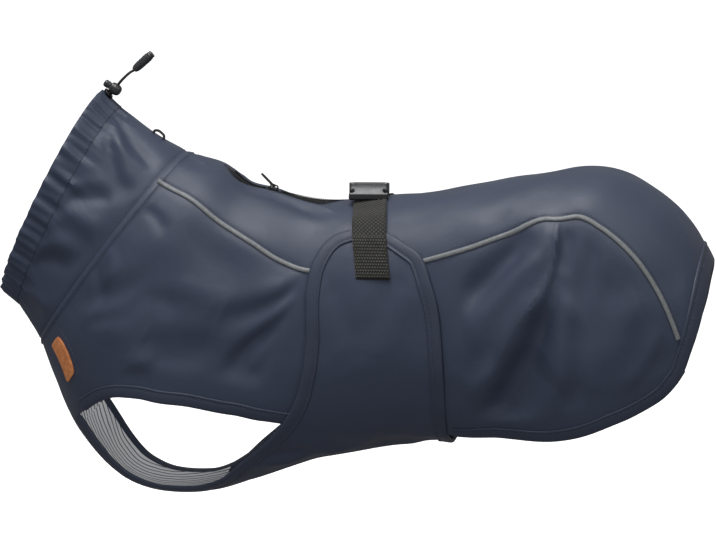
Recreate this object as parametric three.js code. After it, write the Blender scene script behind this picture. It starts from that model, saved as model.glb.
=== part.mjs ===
// Dog raincoat, filled out as when it is worn, and hollow. Millimetres.
// +X runs to the tail, -Y is the near side, +Z is up. The origin is the cloth's inner face
// on the spine, under the girth strap, where the wearer's back holds the coat up.
import * as THREE from 'three';

// Cloth
const cloth = 1.4; // wall of coated cloth
const gap = 0.3; // space between two sewn pieces, and between a piece and what lies on it
const tape = 0.9; // thickness of the folded edge tape
const tapeWidth = 8.5; // how far the edge tape reaches in from an edge
const tapeGap = 0.45; // space under the edge tape
const flapLift = 2.3; // inner face of the belly flap above the coat's inner face
const seamTurn = 0.15; // half of the gap at a lengthwise seam, degrees
const seamStep = 0.005; // half of the gap at a crosswise seam, in stations

// Hardware
const strap = { wide: 25, thick: 1.5, lift: 5.3, start: 17.5, end: 67.5, station: 7.08, lean: 0.38 };
const buckle = { long: 23.5, thick: 8.5, bend: 60, foot: 5.6 };
const zip = { start: 2.95, end: 6.3, slider: 4.3, slot: 3.4, slotEnd: 0.8, tapeReach: 9.5 };
const zipTape = { under: 0.6, thick: 0.9 };
const teeth = { half: 1.2, under: 1.4, high: 0.7, frontGap: 0.36, sliderGap: 0.175, rearGap: 0.2 };
const slider = { long: 8.5, wide: 6, thick: 1.6, foot: -0.5, arch: 2, archLong: 6.4, archHigh: 2.7 };
const pull = { long: 13.5, wide: 5, thick: 1, hole: 4.4, holeWide: 3, lean: 45, over: 0.75 };
const cord = { radius: 0.9, apart: 2.3 };
const piping = { foot: 1.8, edge: 0.5, high: 1.7, front: [2.05, 6.24], rear: [8.22, 12.94] };
const napeLoop = { station: 1.62, angle: 3.2, radius: 0.9 };
const label = { start: 2.5, long: 0.86, near: 0.8, wide: 10.6, thick: 1.2 };
const lining = { in: 1, front: 0.02, thick: 1 }; // chest lining: degrees in from the edge, stations, mm

// A place on the coat is a station and an angle. Station 0 is the neck rim and 14 the tail edge.
// Angle 0 is the spine, 90 the near flank, -90 the far flank and 180 the middle of the belly.
// Each row gives the back line, the belly line, half the width, and how square the section is.
const sections = [
  { name: 'rim', topX: -201, topZ: 77, lowX: -275, lowZ: -70, half: 50, square: 2.0 },
  { name: 'casing', topX: -188, topZ: 64, lowX: -262, lowZ: -81, half: 50, square: 2.0 },
  { name: 'collar seam', topX: -138, topZ: 33, lowX: -246, lowZ: -108, half: 57, square: 2.1 },
  { name: 'withers', topX: -108, topZ: 24, lowX: -234, lowZ: -136, half: 65, square: 2.2 },
  { name: 'shoulder', topX: -80, topZ: 10.5, lowX: -215, lowZ: -176, half: 69, square: 2.3 },
  { name: 'leg', topX: -51, topZ: 0.6, lowX: -176, lowZ: -211, half: 72, square: 2.35 },
  { name: 'elbow', topX: -25, topZ: -1.6, lowX: -114, lowZ: -214, half: 71, square: 2.35 },
  { name: 'girth', topX: 0, topZ: 0, lowX: -33, lowZ: -186, half: 69, square: 2.3 },
  { name: 'waist', topX: 45, topZ: 6, lowX: 46, lowZ: -176, half: 70, square: 2.3 },
  { name: 'loin', topX: 89, topZ: 14, lowX: 98, lowZ: -184, half: 73, square: 2.4 },
  { name: 'rump', topX: 133, topZ: 22, lowX: 146, lowZ: -193, half: 75, square: 2.4 },
  { name: 'croup', topX: 172, topZ: 25, lowX: 182, lowZ: -194, half: 74, square: 2.4 },
  { name: 'tail', topX: 209, topZ: 11, lowX: 208, lowZ: -187, half: 69, square: 2.3 },
  { name: 'dock', topX: 235, topZ: -13, lowX: 224, lowZ: -179, half: 62, square: 2.2 },
  { name: 'tail edge', topX: 250, topZ: -40, lowX: 231, lowZ: -170, half: 55, square: 2.1 },
];

// Seam of the back panel and the side panel, under the piping: station, angle
const pipingSeam = [
  [2, 41], [3.3, 44], [4.7, 47], [5.5, 52], [6.3, 58], [7.3, 63], [8, 61], [8.7, 57],
  [9.4, 51], [10, 45.2], [10.24, 46], [10.54, 45.4], [11.04, 51], [11.6, 59.5], [12.2, 70],
  [12.8, 82], [13.4, 94],
];
// Lower edge of the side panel: chest seam, leg opening, under the flap, hem
const sideEdge = [
  [2, 138], [2.3, 132.5], [2.9, 129.5], [3.3, 130.5], [3.65, 138], [3.86, 145.5], [3.95, 134],
  [4.08, 124], [4.3, 116.5], [4.67, 110], [5.31, 106], [5.96, 109], [6.38, 116], [6.7, 124],
  [7.3, 136], [8.3, 145], [9.1, 136.5], [9.8, 133], [10.33, 129], [11.13, 122], [11.6, 119],
  [12.44, 112], [13, 104], [13.44, 95],
];
const legCorner = 3.86; // station of the side panel's pointed lower corner
const flapJoin = 6.12; // station where the chest strip widens into the flap
const tailStation = 13.32; // last cut station of the side panel
const tailCorner = { station: 13.4, angle: 94 }; // where the piping meets the tail edge
// Edge of the chest strip behind the leg corner: station, angle
const stripEdge = [
  [3.86, 146.5], [4.2, 148], [4.6, 151], [5, 155], [5.4, 157.5], [5.8, 157], [6, 153], [6.12, 148],
];
// Front and rear edges of the flap that wraps the girth: angle, station
const flapFront = [
  [39.5, 6.95], [41.5, 6.62], [45, 6.45], [49, 6.37], [56, 6.33], [67, 6.41], [80, 6.57],
  [91, 6.69], [98, 6.72], [107, 6.72], [116, 6.67], [123, 6.59], [129, 6.49], [135, 6.34],
  [141, 6.21], [148, 6.12],
];
const flapRear = [
  [39.5, 7.3], [44, 7.55], [51, 7.79], [59, 8.04], [72, 8.19], [83, 8.29], [93, 8.33],
  [106, 8.34], [123, 8.33], [145, 8.31], [180, 8.3],
];

// Folds of the cloth, each from one place to another: width and height in mm, below 0 is a trough
const folds = [
  { from: [1.1, 20], to: [1.9, 38], wide: 6, high: -2.2 },
  { from: [1.05, 34], to: [1.8, 40], wide: 6, high: 2 },
  { from: [1.1, 72], to: [1.9, 52], wide: 8, high: -2.5 },
  { from: [1.1, 96], to: [1.9, 82], wide: 8, high: 2.4 },
  { from: [1.1, 116], to: [1.9, 96], wide: 8, high: -2.4 },
  { from: [2.6, 104], to: [3.4, 84], wide: 9, high: -2.5 },
  { from: [3.2, 104], to: [4.3, 90], wide: 8, high: 2.4 },
  { from: [6.1, 76], to: [4.6, 94], wide: 9, high: -3.6 },
  { from: [6.1, 92], to: [4.9, 104], wide: 8, high: -3 },
  { from: [6, 66], to: [4.9, 74], wide: 9, high: 3 },
  { from: [4.9, 60], to: [3.4, 60], wide: 10, high: -1.8 },
  { from: [10.15, 50], to: [9.8, 76], wide: 8, high: 2.6 },
  { from: [9.6, 58], to: [8.7, 84], wide: 9, high: -3.6 },
  { from: [9.75, 78], to: [8.9, 106], wide: 9, high: 3.4 },
  { from: [9.9, 94], to: [9.1, 124], wide: 12, high: -7 },
  { from: [10.4, 88], to: [9.9, 118], wide: 10, high: 2.6 },
  { from: [11.3, 72], to: [10.9, 106], wide: 14, high: -2 },
  { from: [1.1, -26], to: [1.9, -42], wide: 7, high: -2 },
  { from: [1.1, -60], to: [1.9, -70], wide: 8, high: 2.3 },
  { from: [1.1, -88], to: [1.9, -80], wide: 8, high: -2.5 },
  { from: [1.1, -124], to: [1.9, -108], wide: 8, high: -2 },
  { from: [2.5, -96], to: [3.5, -88], wide: 9, high: -2.2 },
  { from: [6.1, -80], to: [4.5, -92], wide: 9, high: -3.4 },
  { from: [6.1, -94], to: [4.8, -101], wide: 7, high: 2.2 },
  { from: [5, -62], to: [3.5, -64], wide: 10, high: -2 },
  { from: [9.5, -62], to: [8.8, -92], wide: 10, high: -3.2 },
  { from: [10.3, -60], to: [9.5, -96], wide: 9, high: 3 },
  { from: [10, -100], to: [9.4, -124], wide: 11, high: -5 },
  { from: [11.5, -74], to: [10.8, -108], wide: 13, high: -2.4 },
  { from: [3.3, -10], to: [4.9, -9], wide: 6, high: 2.4 },
];
const flapFolds = [
  { from: [6.75, 74], to: [7.25, 98], wide: 9, high: 1.6 },
  { from: [7.95, 74], to: [7.5, 98], wide: 9, high: 1.6 },
  { from: [6.6, 150], to: [7.3, 158], wide: 7, high: 2 },
  { from: [7, 168], to: [8, 164], wide: 7, high: 1.6 },
  { from: [6.8, -78], to: [7.3, -100], wide: 9, high: 1.5 },
  { from: [7.9, -72], to: [7.6, -96], wide: 9, high: 1.6 },
  { from: [6.7, -152], to: [7.5, -160], wide: 7, high: 1.8 },
];
const stationLength = 43; // mean length of one station, for the width of a fold
const turnLength = 80; // mean length of one radian round the coat

// Small waves where the cord gathers the neck
const gathers = 27;
const gatherDepth = 0.9;

// Stations and turns that the panels are cut at
const panelStations = [
  2, 2.3, 2.6, 2.9, 3.2, 3.45, 3.65, 3.78, 3.86, 3.95, 4.08, 4.3, 4.67, 5, 5.31, 5.65, 5.96,
  6.38, 6.8, 7.3, 7.8, 8.3, 8.7, 9.1, 9.45, 9.8, 10, 10.24, 10.54, 10.8, 11.13, 11.6, 12,
  12.44, 12.9, tailStation,
];
const stripStations = [3.86, 4.08, 4.3, 4.67, 5, 5.31, 5.65, 5.96, 6.12];
const flapAngles = [
  39.5, 41.5, 45, 49, 54, 60, 67, 74, 82, 91, 99, 107, 116, 123, 129, 135, 141, 148, 156, 164, 172,
];

const rad = THREE.MathUtils.degToRad;
const clamp = THREE.MathUtils.clamp;
const smooth = THREE.MathUtils.smoothstep;

// Value of a table at a place, with no overshoot between its rows
function along(table, at) {
  const last = table.length - 2;
  let i = 0;
  while (i < last && at > table[i + 1][0]) i += 1;
  const slope = (k) => (table[k + 1][1] - table[k][1]) / (table[k + 1][0] - table[k][0]);
  const lean = (k) => {
    if (k === 0) return slope(0);
    if (k > last) return slope(last);
    const before = slope(k - 1);
    const after = slope(k);
    return before * after <= 0 ? 0 : (2 * before * after) / (before + after);
  };
  const span = table[i + 1][0] - table[i][0];
  const t = clamp((at - table[i][0]) / span, 0, 1);
  const [p, q, m, n] = [table[i][1], table[i + 1][1], lean(i) * span, lean(i + 1) * span];
  return p + t * m + t * t * (3 * (q - p) - 2 * m - n) + t * t * t * (2 * (p - q) + m + n);
}

// Section of the coat at a station, smooth from row to row
function sectionAt(station) {
  const i = clamp(Math.floor(station), 0, sections.length - 2);
  const t = station - i;
  const [a, b, c, d] = [i - 1, i, i + 1, i + 2].map((k) => sections[clamp(k, 0, sections.length - 1)]);
  const blend = (key) => 0.5 * (2 * b[key] + (c[key] - a[key]) * t
    + (2 * a[key] - 5 * b[key] + 4 * c[key] - d[key]) * t * t
    + (3 * b[key] - a[key] - 3 * c[key] + d[key]) * t * t * t);
  return Object.fromEntries(['topX', 'topZ', 'lowX', 'lowZ', 'half', 'square'].map((key) => [key, blend(key)]));
}

// Smooth body form, before any fold: station, angle in degrees
function form(station, angle) {
  const row = sectionAt(station);
  const power = 2 / row.square;
  const bend = (v) => Math.sign(v) * Math.abs(v) ** power;
  const down = (1 - bend(Math.cos(rad(angle)))) / 2;
  return new THREE.Vector3(
    row.topX + (row.lowX - row.topX) * down,
    -row.half * bend(Math.sin(rad(angle))),
    row.topZ + (row.lowZ - row.topZ) * down,
  );
}

// Directions on the form: to the tail, round the coat, and outwards
function directions(station, angle) {
  const tail = form(station + 0.05, angle).sub(form(station - 0.05, angle)).divideScalar(0.1);
  const round = form(station, angle + 1.5).sub(form(station, angle - 1.5)).divideScalar(3);
  return { tail, round, out: round.clone().cross(tail).normalize() };
}

function foldHeight(list, station, angle) {
  let height = 0;
  for (const fold of list) {
    const scale = rad(1) * turnLength;
    const wrap = (a) => ((a - fold.from[1] + 540) % 360) - 180;
    const run = [(fold.to[0] - fold.from[0]) * stationLength, wrap(fold.to[1]) * scale];
    const here = [(station - fold.from[0]) * stationLength, wrap(angle) * scale];
    const length = run[0] ** 2 + run[1] ** 2;
    const t = clamp((here[0] * run[0] + here[1] * run[1]) / length, 0, 1);
    const away = Math.hypot(here[0] - t * run[0], here[1] - t * run[1]) / fold.wide;
    height += fold.high * Math.exp(-away * away) * (1 - 0.5 * (2 * t - 1) ** 4);
  }
  return height;
}

// The cloth lies flat at seams, at edges and under the flap
function settle(station, angle) {
  const turn = Math.abs(angle > 180 ? 360 - angle : angle);
  const seam = smooth(Math.abs(station - 2), 0.02, 0.3) * smooth(station, 1, 1.25);
  const underFlap = smooth(turn, 34, 40) * smooth(station, 5.9, 6.3) * (1 - smooth(station, 8.4, 8.9));
  const hem = along(sideEdge, Math.max(station, 2));
  const inside = station < 2 ? 1 : 1 - smooth(turn, hem - 17, hem - 10);
  return seam * inside * (1 - underFlap) * (1 - smooth(station, 12.6, 13.3));
}

function creased(station, angle) {
  const drawn = 1 - smooth(station, 0.9, 1.5);
  const wave = Math.sin(rad(gathers * angle) + 1.7 * Math.sin(rad(5 * angle)));
  return foldHeight(folds, station, angle) * settle(station, angle) + drawn * gatherDepth * wave;
}

// Point of the cloth at a height above its inner face
function skin(station, angle, height) {
  return form(station, angle).addScaledVector(directions(station, angle).out, creased(station, angle) + height);
}

// The place reached by going so many mm to the tail side and round the coat
function stepTo(place, move) {
  const { tail, round } = directions(place.station, place.angle);
  const [a, b, c] = [tail.dot(tail), tail.dot(round), round.dot(round)];
  const [p, q] = [tail.dot(move), round.dot(move)];
  const size = a * c - b * b;
  return { station: place.station + (c * p - b * q) / size, angle: place.angle + (a * q - b * p) / size };
}

// A closed wall over four-cornered cells; each corner has a station, an angle, and low and high faces
function closedWall(cells) {
  const corners = new Map();
  const low = [];
  const high = [];
  const indexOf = (v) => {
    const turn = v.angle > 180 ? v.angle - 360 : v.angle;
    const key = `${v.station.toFixed(4)} ${turn.toFixed(3)}`;
    if (!corners.has(key)) {
      corners.set(key, low.length);
      low.push(skin(v.station, turn, v.low));
      high.push(skin(v.station, turn, v.high));
    }
    return corners.get(key);
  };
  const faces = cells.map((cell) => cell.map(indexOf));
  const triangles = [];
  const edges = new Map();
  const count = low.length;
  for (const [a, b, c, d] of faces) {
    triangles.push([a, b, c], [a, c, d], [c + count, b + count, a + count], [d + count, c + count, a + count]);
    for (const [p, q] of [[a, b], [b, c], [c, d], [d, a]]) {
      if (!edges.delete(`${q} ${p}`)) edges.set(`${p} ${q}`, [p, q]);
    }
  }
  for (const [p, q] of edges.values()) {
    triangles.push([q, p, p + count], [q, p + count, q + count]);
  }
  return solid([...low, ...high], triangles);
}

// A closed body from points and triangles, with its faces out
function solid(points, triangles) {
  let volume = 0;
  for (const [a, b, c] of triangles) volume += points[a].dot(points[b].clone().cross(points[c]));
  const geometry = new THREE.BufferGeometry();
  geometry.setAttribute('position', new THREE.Float32BufferAttribute(points.flatMap((p) => p.toArray()), 3));
  geometry.setIndex(triangles.flatMap(([a, b, c]) => (volume < 0 ? [a, c, b] : [a, b, c])));
  geometry.computeVertexNormals();
  return geometry;
}

// Cells between the rows of a grid
function cellsOf(rows, keep = () => true) {
  const cells = [];
  for (let i = 0; i + 1 < rows.length; i += 1) {
    for (let j = 0; j + 1 < rows[i].length; j += 1) {
      if (keep(i, j)) cells.push([rows[i][j], rows[i][j + 1], rows[i + 1][j + 1], rows[i + 1][j]]);
    }
  }
  return cells;
}

const place = (station, angle, low = 0, high = cloth) => ({ station, angle, low, high });
const steps = (count) => Array.from({ length: count + 1 }, (_, i) => i / count);
const mirrored = (rows) => rows.map((row) => row.map((v) => ({ ...v, angle: -v.angle })));

// A ribbon that follows a line of places; each lane has a distance to the side and its two faces
function ribbon(line, lanes, lift = () => 0) {
  const rows = line.map((here, i) => {
    const before = line[Math.max(i - 1, 0)];
    const after = line[Math.min(i + 1, line.length - 1)];
    const ahead = form(after.station, after.angle).sub(form(before.station, before.angle)).normalize();
    const side = directions(here.station, here.angle).out.cross(ahead).normalize();
    return lanes.map((lane) => {
      const spot = stepTo(here, side.clone().multiplyScalar(lane.aside));
      const base = lift(spot.station, spot.angle);
      return { ...spot, low: lane.low + base, high: lane.high + base };
    });
  });
  return closedWall(cellsOf(rows));
}

// Points of an edge line between two of its stations
function edgeLine(table, from, to, count) {
  return steps(count).map((t) => {
    const station = from + (to - from) * t;
    return { station, angle: along(table, station) };
  });
}

const colors = {
  navy: { color: 0x2c3446, roughness: 0.5, metalness: 0 },
  tapeNavy: { color: 0x262c3b, roughness: 0.55, metalness: 0 },
  lining: { color: 0xc9ccd2, roughness: 0.9, metalness: 0 },
  reflective: { color: 0xa9aeac, roughness: 0.35, metalness: 0.2 },
  webbing: { color: 0x1d1d1b, roughness: 0.9, metalness: 0 },
  plastic: { color: 0x2b2d31, roughness: 0.35, metalness: 0 },
  cord: { color: 0x191a1c, roughness: 0.8, metalness: 0 },
  metal: { color: 0x1b1c20, roughness: 0.4, metalness: 0.6 },
  leather: { color: 0xa8552b, roughness: 0.6, metalness: 0 },
};

const group = new THREE.Group();

function add(name, geometry, finish) {
  const mesh = new THREE.Mesh(geometry, new THREE.MeshStandardMaterial(colors[finish]));
  mesh.name = name;
  group.add(mesh);
  return mesh;
}

// Outer face of the drawcord's tunnel at a station
const tunnelHigh = (station) => cloth + 0.4 + 1.1 * Math.sin(Math.PI * clamp(station, 0, 1));

// Collar and the tunnel of its drawcord
function collar() {
  const around = (count) => steps(count).map((t) => -180 + 360 * t);
  const tunnel = [0, 0.2, 0.5, 0.8, 1 - seamStep].map((station) => around(81).map((angle) => (
    place(station, angle, 0, tunnelHigh(station))
  )));
  add('collar_casing', closedWall(cellsOf(tunnel)), 'navy');
  const tube = [1 + seamStep, 1.15, 1.35, 1.6, 1.8, 2 - seamStep].map((station) => (
    around(54).map((angle) => place(station, angle))
  ));
  add('collar', closedWall(cellsOf(tube)), 'navy');
}

// Angle of a point so many mm from the spine
function besideSpine(station, aside) {
  const row = sectionAt(station);
  return THREE.MathUtils.radToDeg(Math.asin((aside / row.half) ** (row.square / 2)));
}

// Half the width of the zip's slot at a station
const slotHalf = (station) => {
  const t = clamp((station - zip.start) / (zip.end - zip.start), 0, 1);
  return zip.slotEnd + (zip.slot - zip.slotEnd) * Math.sin(Math.PI * t) ** 0.6;
};

// Station of the back panel's tail edge at an angle
const tailEdge = (angle) => 14 - (14 - tailCorner.station) * (Math.abs(angle) / tailCorner.angle) ** 4;

// Back panel, from piping to piping and from the collar to the tail edge, with the zip's slot
function backPanel() {
  const lanes = steps(6);
  const stations = [...panelStations, tailCorner.station - seamStep];
  const rows = stations.map((station, i) => {
    const edge = along(pipingSeam, station) - seamTurn;
    const first = i === 0 ? seamStep : 0;
    const spine = 2 + ((station - 2) * (14 - 2)) / (tailCorner.station - 2);
    const half = lanes.map((t) => {
      const at = spine + (station - spine) * t ** 4 + first;
      const inner = besideSpine(clamp(at, 2, 14), slotHalf(at));
      return place(Math.min(at, 14), inner + (edge - inner) * t);
    });
    return [...half.map((v) => ({ ...v, angle: -v.angle })).reverse(), ...half];
  });
  const middle = lanes.length - 1;
  const open = (i) => rows[i][middle].station > zip.start && rows[i + 1][middle].station < zip.end;
  add('back_panel', closedWall(cellsOf(rows, (i, j) => j !== middle || !open(i))), 'navy');
}

// Side panels, from the piping down to the chest seam, the leg opening and the hem
function sidePanels() {
  const rows = panelStations.map((station, i) => {
    const top = along(pipingSeam, station) + seamTurn;
    const bottom = along(sideEdge, station) - seamTurn;
    return steps(8).map((t) => place(station + (i === 0 ? seamStep : 0), top + (bottom - top) * t));
  });
  add('side_panel_near', closedWall(cellsOf(rows)), 'navy');
  add('side_panel_far', closedWall(cellsOf(mirrored(rows))), 'navy');
}

// How far the belly flap stands off: level with the panels at the chest, over them at the girth
const flapHeight = (station, angle) => (
  flapLift * smooth(station, 4.2, 6.1) + foldHeight(flapFolds, station, angle) * smooth(station, 6.3, 6.6)
);

// Belly flap: chest piece, strip between the legs, and the band whose wings wrap the girth
function bellyFlap() {
  const lay = (station, angle) => {
    const lift = flapHeight(station, angle);
    return place(station, angle, lift, lift + cloth);
  };
  const chest = [...panelStations.filter((v) => v < legCorner), ...stripStations];
  const strip = chest.map((station, i) => {
    const edge = station < legCorner ? along(sideEdge, station) + seamTurn : along(stripEdge, station);
    return steps(8).map((t) => lay(station + (i === 0 ? seamStep : 0), edge + (360 - 2 * edge) * t));
  });
  const half = flapAngles.map((angle) => steps(9).map((t) => {
    const front = angle < 148 ? along(flapFront, angle) : flapJoin;
    return [front + (along(flapRear, angle) - front) * t, angle];
  }));
  const middle = steps(9).map((t) => [flapJoin + (along(flapRear, 180) - flapJoin) * t, 180]);
  const far = half.map((row) => row.map(([station, angle]) => [station, 360 - angle])).reverse();
  const band = [...half, middle, ...far].map((row) => row.map(([station, angle]) => lay(station, angle)));
  const turned = cellsOf(band).map((cell) => [...cell].reverse());
  add('belly_flap', closedWall([...cellsOf(strip), ...turned]), 'navy');
}

// Striped lining on the inner face of the chest strip, where the leg openings show it
function chestLining() {
  const rows = stripStations.slice(0, -1).map((station, i) => {
    const edge = along(stripEdge, station) + lining.in;
    const lift = flapHeight(station, 180) - gap;
    return steps(8).map((t) => (
      place(station + (i === 0 ? lining.front : 0), edge + (360 - 2 * edge) * t, lift - lining.thick, lift)
    ));
  });
  add('chest_lining', closedWall(cellsOf(rows)), 'lining');
}

// Tape folded over an edge, lying on the outer face
function edgeTape(name, line, toCloth, lift = () => 0) {
  const lanes = [0, tapeWidth].map((aside) => ({
    aside: aside * toCloth,
    low: cloth + tapeGap,
    high: cloth + tapeGap + tape,
  }));
  add(name, ribbon(line, lanes, lift), 'tapeNavy');
}

const flip = (line) => line.map((v) => ({ ...v, angle: -v.angle }));

function edgeTapes() {
  const leg = [3.92, 3.95, 4.01, 4.08, 4.18, 4.3, 4.48, 4.67, 5, 5.31, 5.65, 5.96, 6.2, 6.42];
  const legLine = leg.map((station) => ({ station, angle: along(sideEdge, station) - 0.3 }));
  const hemLine = edgeLine(sideEdge, 8.42, 13.3, 20);
  const tailLine = steps(26).map((t) => ({ station: tailEdge(90 - 180 * t) - 0.01, angle: 90 - 180 * t }));
  edgeTape('leg_tape_near', legLine, 1);
  edgeTape('leg_tape_far', flip(legLine), -1);
  edgeTape('hem_tape_near', hemLine, 1);
  edgeTape('hem_tape_far', flip(hemLine), -1);
  edgeTape('tail_tape', tailLine, 1);
  const strip = edgeLine(stripEdge, legCorner + 0.04, 6, 14);
  const wing = flapAngles.filter((a) => a <= 148).reverse()
    .map((angle) => ({ station: along(flapFront, angle), angle }));
  const frontLine = [...strip, ...wing];
  const rear = [...flapAngles, 180].map((angle) => ({ station: along(flapRear, angle), angle }));
  const rearFar = rear.slice(0, -1).map((v) => ({ ...v, angle: 360 - v.angle })).reverse();
  edgeTape('flap_tape_front_near', frontLine, -1, flapHeight);
  edgeTape('flap_tape_front_far', flip(frontLine), 1, flapHeight);
  edgeTape('flap_tape_rear', [...rear, ...rearFar], -1, flapHeight);
}

// Reflective piping in the seams of the back panel, in front of the flap and behind it
function seamPiping() {
  const base = cloth + gap;
  const lanes = [
    { aside: -piping.foot, low: base, high: base + piping.edge },
    { aside: 0, low: base, high: base + piping.high },
    { aside: piping.foot, low: base, high: base + piping.edge },
  ];
  const front = edgeLine(pipingSeam, ...piping.front, 14);
  const rear = edgeLine(pipingSeam, ...piping.rear, 24);
  add('piping_front_near', ribbon(front, lanes), 'reflective');
  add('piping_front_far', ribbon(flip(front), lanes), 'reflective');
  add('piping_rear_near', ribbon(rear, lanes), 'reflective');
  add('piping_rear_far', ribbon(flip(rear), lanes), 'reflective');
}

// Girth straps, from the buckle down to the wings of the flap
function straps() {
  const line = steps(12).map((t) => {
    const angle = strap.start + (strap.end - strap.start) * t;
    return { angle, station: strap.station + strap.lean * t };
  });
  const lanes = [-1, 0, 1].map((t) => ({
    aside: (t * strap.wide) / 2, low: strap.lift, high: strap.lift + strap.thick,
  }));
  add('strap_near', ribbon(line, lanes), 'webbing');
  add('strap_far', ribbon(flip(line), lanes), 'webbing');
}

// Outline across the strap, extruded in height and bent over the back
function bentPlate(halfOutline, side) {
  const outline = [...halfOutline, ...halfOutline.map(([x, y]) => [-x, y]).reverse()];
  const shape = new THREE.Shape(outline.map(([x, y]) => new THREE.Vector2(x, y * side)));
  const plate = new THREE.ExtrudeGeometry(shape, { depth: buckle.thick, bevelEnabled: false });
  const spots = plate.getAttribute('position');
  for (let i = 0; i < spots.count; i += 1) {
    const turn = spots.getY(i) / buckle.bend;
    const radius = buckle.bend + spots.getZ(i);
    spots.setXYZ(i, spots.getX(i), radius * Math.sin(turn), radius * Math.cos(turn) - buckle.bend);
  }
  plate.computeVertexNormals();
  return plate;
}

// Side-release buckle on the spine: its near half has the prongs, its far half takes them
function girthBuckle() {
  const near = [
    [9.6, 0.4], [11.6, 3], [11, 6], [12.4, 8.6], [14.2, 11.4], [14.5, 16], [14.2, 21],
    [12.6, buckle.long],
  ];
  const far = [[13.4, 0], [14.6, 3], [14.8, 8], [14.5, 14], [14.4, 20], [12.6, buckle.long]];
  add('buckle_near', bentPlate(near, -1), 'plastic').position.set(0, 0, buckle.foot);
  add('buckle_far', bentPlate(far, 1), 'plastic').position.set(0, 0, buckle.foot);
}

// Point of the spine at a station, and how far the back slopes there
function spineSpot(station) {
  const { tail } = directions(station, 0);
  return { at: form(station, 0), slope: Math.atan2(-tail.z, tail.x) };
}

// Back zip: a tape on each side of the slot, the closed teeth, the slider and its pull tab
function backZip() {
  const between = (start, end, from, to, low, high) => steps(Math.ceil((end - start) * 6)).map((s) => {
    const station = start + (end - start) * s;
    return [0, 0.5, 1].map((t) => place(station, besideSpine(station, from + (to - from) * t), low, high));
  });
  const { under: tapeHigh } = zipTape;
  const tapeLow = -tapeHigh - zipTape.thick;
  const tapeRows = between(zip.start, zip.end, teeth.half + gap, zip.tapeReach, tapeLow, -tapeHigh);
  add('zip_tape_near', closedWall(cellsOf(tapeRows)), 'webbing');
  add('zip_tape_far', closedWall(cellsOf(mirrored(tapeRows))), 'webbing');
  const closedTeeth = (name, start, end) => {
    const rows = between(start, end, 0, teeth.half, -teeth.under, teeth.high);
    const whole = rows.map((row, i) => [...mirrored(rows)[i].slice(1).reverse(), ...row]);
    add(name, closedWall(cellsOf(whole)), 'webbing');
  };
  closedTeeth('zip_teeth_front', zip.start + teeth.frontGap, zip.slider - teeth.sliderGap);
  closedTeeth('zip_teeth_rear', zip.slider + teeth.sliderGap, zip.end - teeth.rearGap);

  const { at, slope } = spineSpot(zip.slider);
  const seat = new THREE.Group();
  seat.position.copy(at);
  seat.rotation.y = slope;
  group.add(seat);
  const block = (outline, wide) => {
    const shape = new THREE.Shape(outline.map(([x, z]) => new THREE.Vector2(x, z)));
    return new THREE.ExtrudeGeometry(shape, { depth: wide, bevelEnabled: false })
      .rotateX(Math.PI / 2).translate(0, wide / 2, 0);
  };
  const [half, foot, top] = [slider.long / 2, slider.foot, slider.foot + slider.thick];
  const side = [
    [-half, foot], [half, foot], [half, top - 0.5], [half - 0.7, top], [0.7 - half, top], [-half, top - 0.5],
  ];
  const body = add('zip_slider', block(side, slider.wide), 'metal');
  const [reach, under, over] = [slider.archLong / 2, top + 1.9, top + slider.archHigh];
  const arch = [
    [-reach, top + gap], [-reach + 0.9, top + gap], [-reach + 0.9, under], [reach - 0.9, under],
    [reach - 0.9, top + gap], [reach, top + gap], [reach, over - 0.5], [reach - 0.5, over],
    [0.5 - reach, over], [-reach, over - 0.5],
  ];
  const loop = add('zip_slider_loop', block(arch, slider.arch), 'metal');
  seat.add(body, loop);

  const tab = new THREE.Shape([
    [0.5, -1], [-9, -1], [-pull.long, -0.7], [-pull.long, 0.7], [-9, 1], [0.5, 1],
  ].map(([x, y]) => new THREE.Vector2(x, (y * pull.wide) / 2)));
  const hole = [[-0.55, 1], [-pull.hole, 1], [-pull.hole, -1], [-0.55, -1]];
  tab.holes.push(new THREE.Path(hole.map(([x, y]) => new THREE.Vector2(x, (y * pull.holeWide) / 2))));
  const tabBody = new THREE.ExtrudeGeometry(tab, { depth: pull.thick, bevelEnabled: false });
  tabBody.translate(0, 0, -pull.thick / 2);
  const hinge = new THREE.Vector3(0, 0, top + gap + pull.over).applyAxisAngle(new THREE.Vector3(0, 1, 0), slope);
  const pullTab = add('zip_pull', tabBody, 'metal');
  pullTab.position.copy(at).add(hinge);
  pullTab.rotation.y = rad(pull.lean);
}

const spot = ([x, y, z]) => new THREE.Vector3(x, y, z);

// A round cord through a row of points
function tube(points, radius) {
  const path = new THREE.CatmullRomCurve3(points.map(spot));
  const sides = Array.from({ length: 8 }, (_, i) => {
    const turn = (i * Math.PI) / 4;
    return new THREE.Vector2(radius * Math.cos(turn), radius * Math.sin(turn));
  });
  return new THREE.ExtrudeGeometry(new THREE.Shape(sides), { steps: 12, extrudePath: path, bevelEnabled: false });
}

// A turned body standing along a direction, from rows of radius and height
function turned(profile, from, to) {
  const geometry = new THREE.LatheGeometry(profile.map(([r, h]) => new THREE.Vector2(r, h)), 16);
  const aim = spot(to).sub(spot(from)).normalize();
  geometry.applyQuaternion(new THREE.Quaternion().setFromUnitVectors(new THREE.Vector3(0, 1, 0), aim));
  return geometry.translate(...from);
}

// Drawcord at the nape: eyelet, two strands, cord lock and the grip on their ends
const eyeletStation = 0.42;
const lockAt = [-189.6, 0, 79.3];
const lockAim = [-8, 0, 5];
const gripFrom = [-175.2, 0, 93.6];
const gripTo = [-161.2, 0, 106];
const strandRoute = [[-186.9, 83.3], [-184, 86.6], [-180.4, 90], [-177.6, 92.2], [-175.5, 93.4]];

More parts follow.
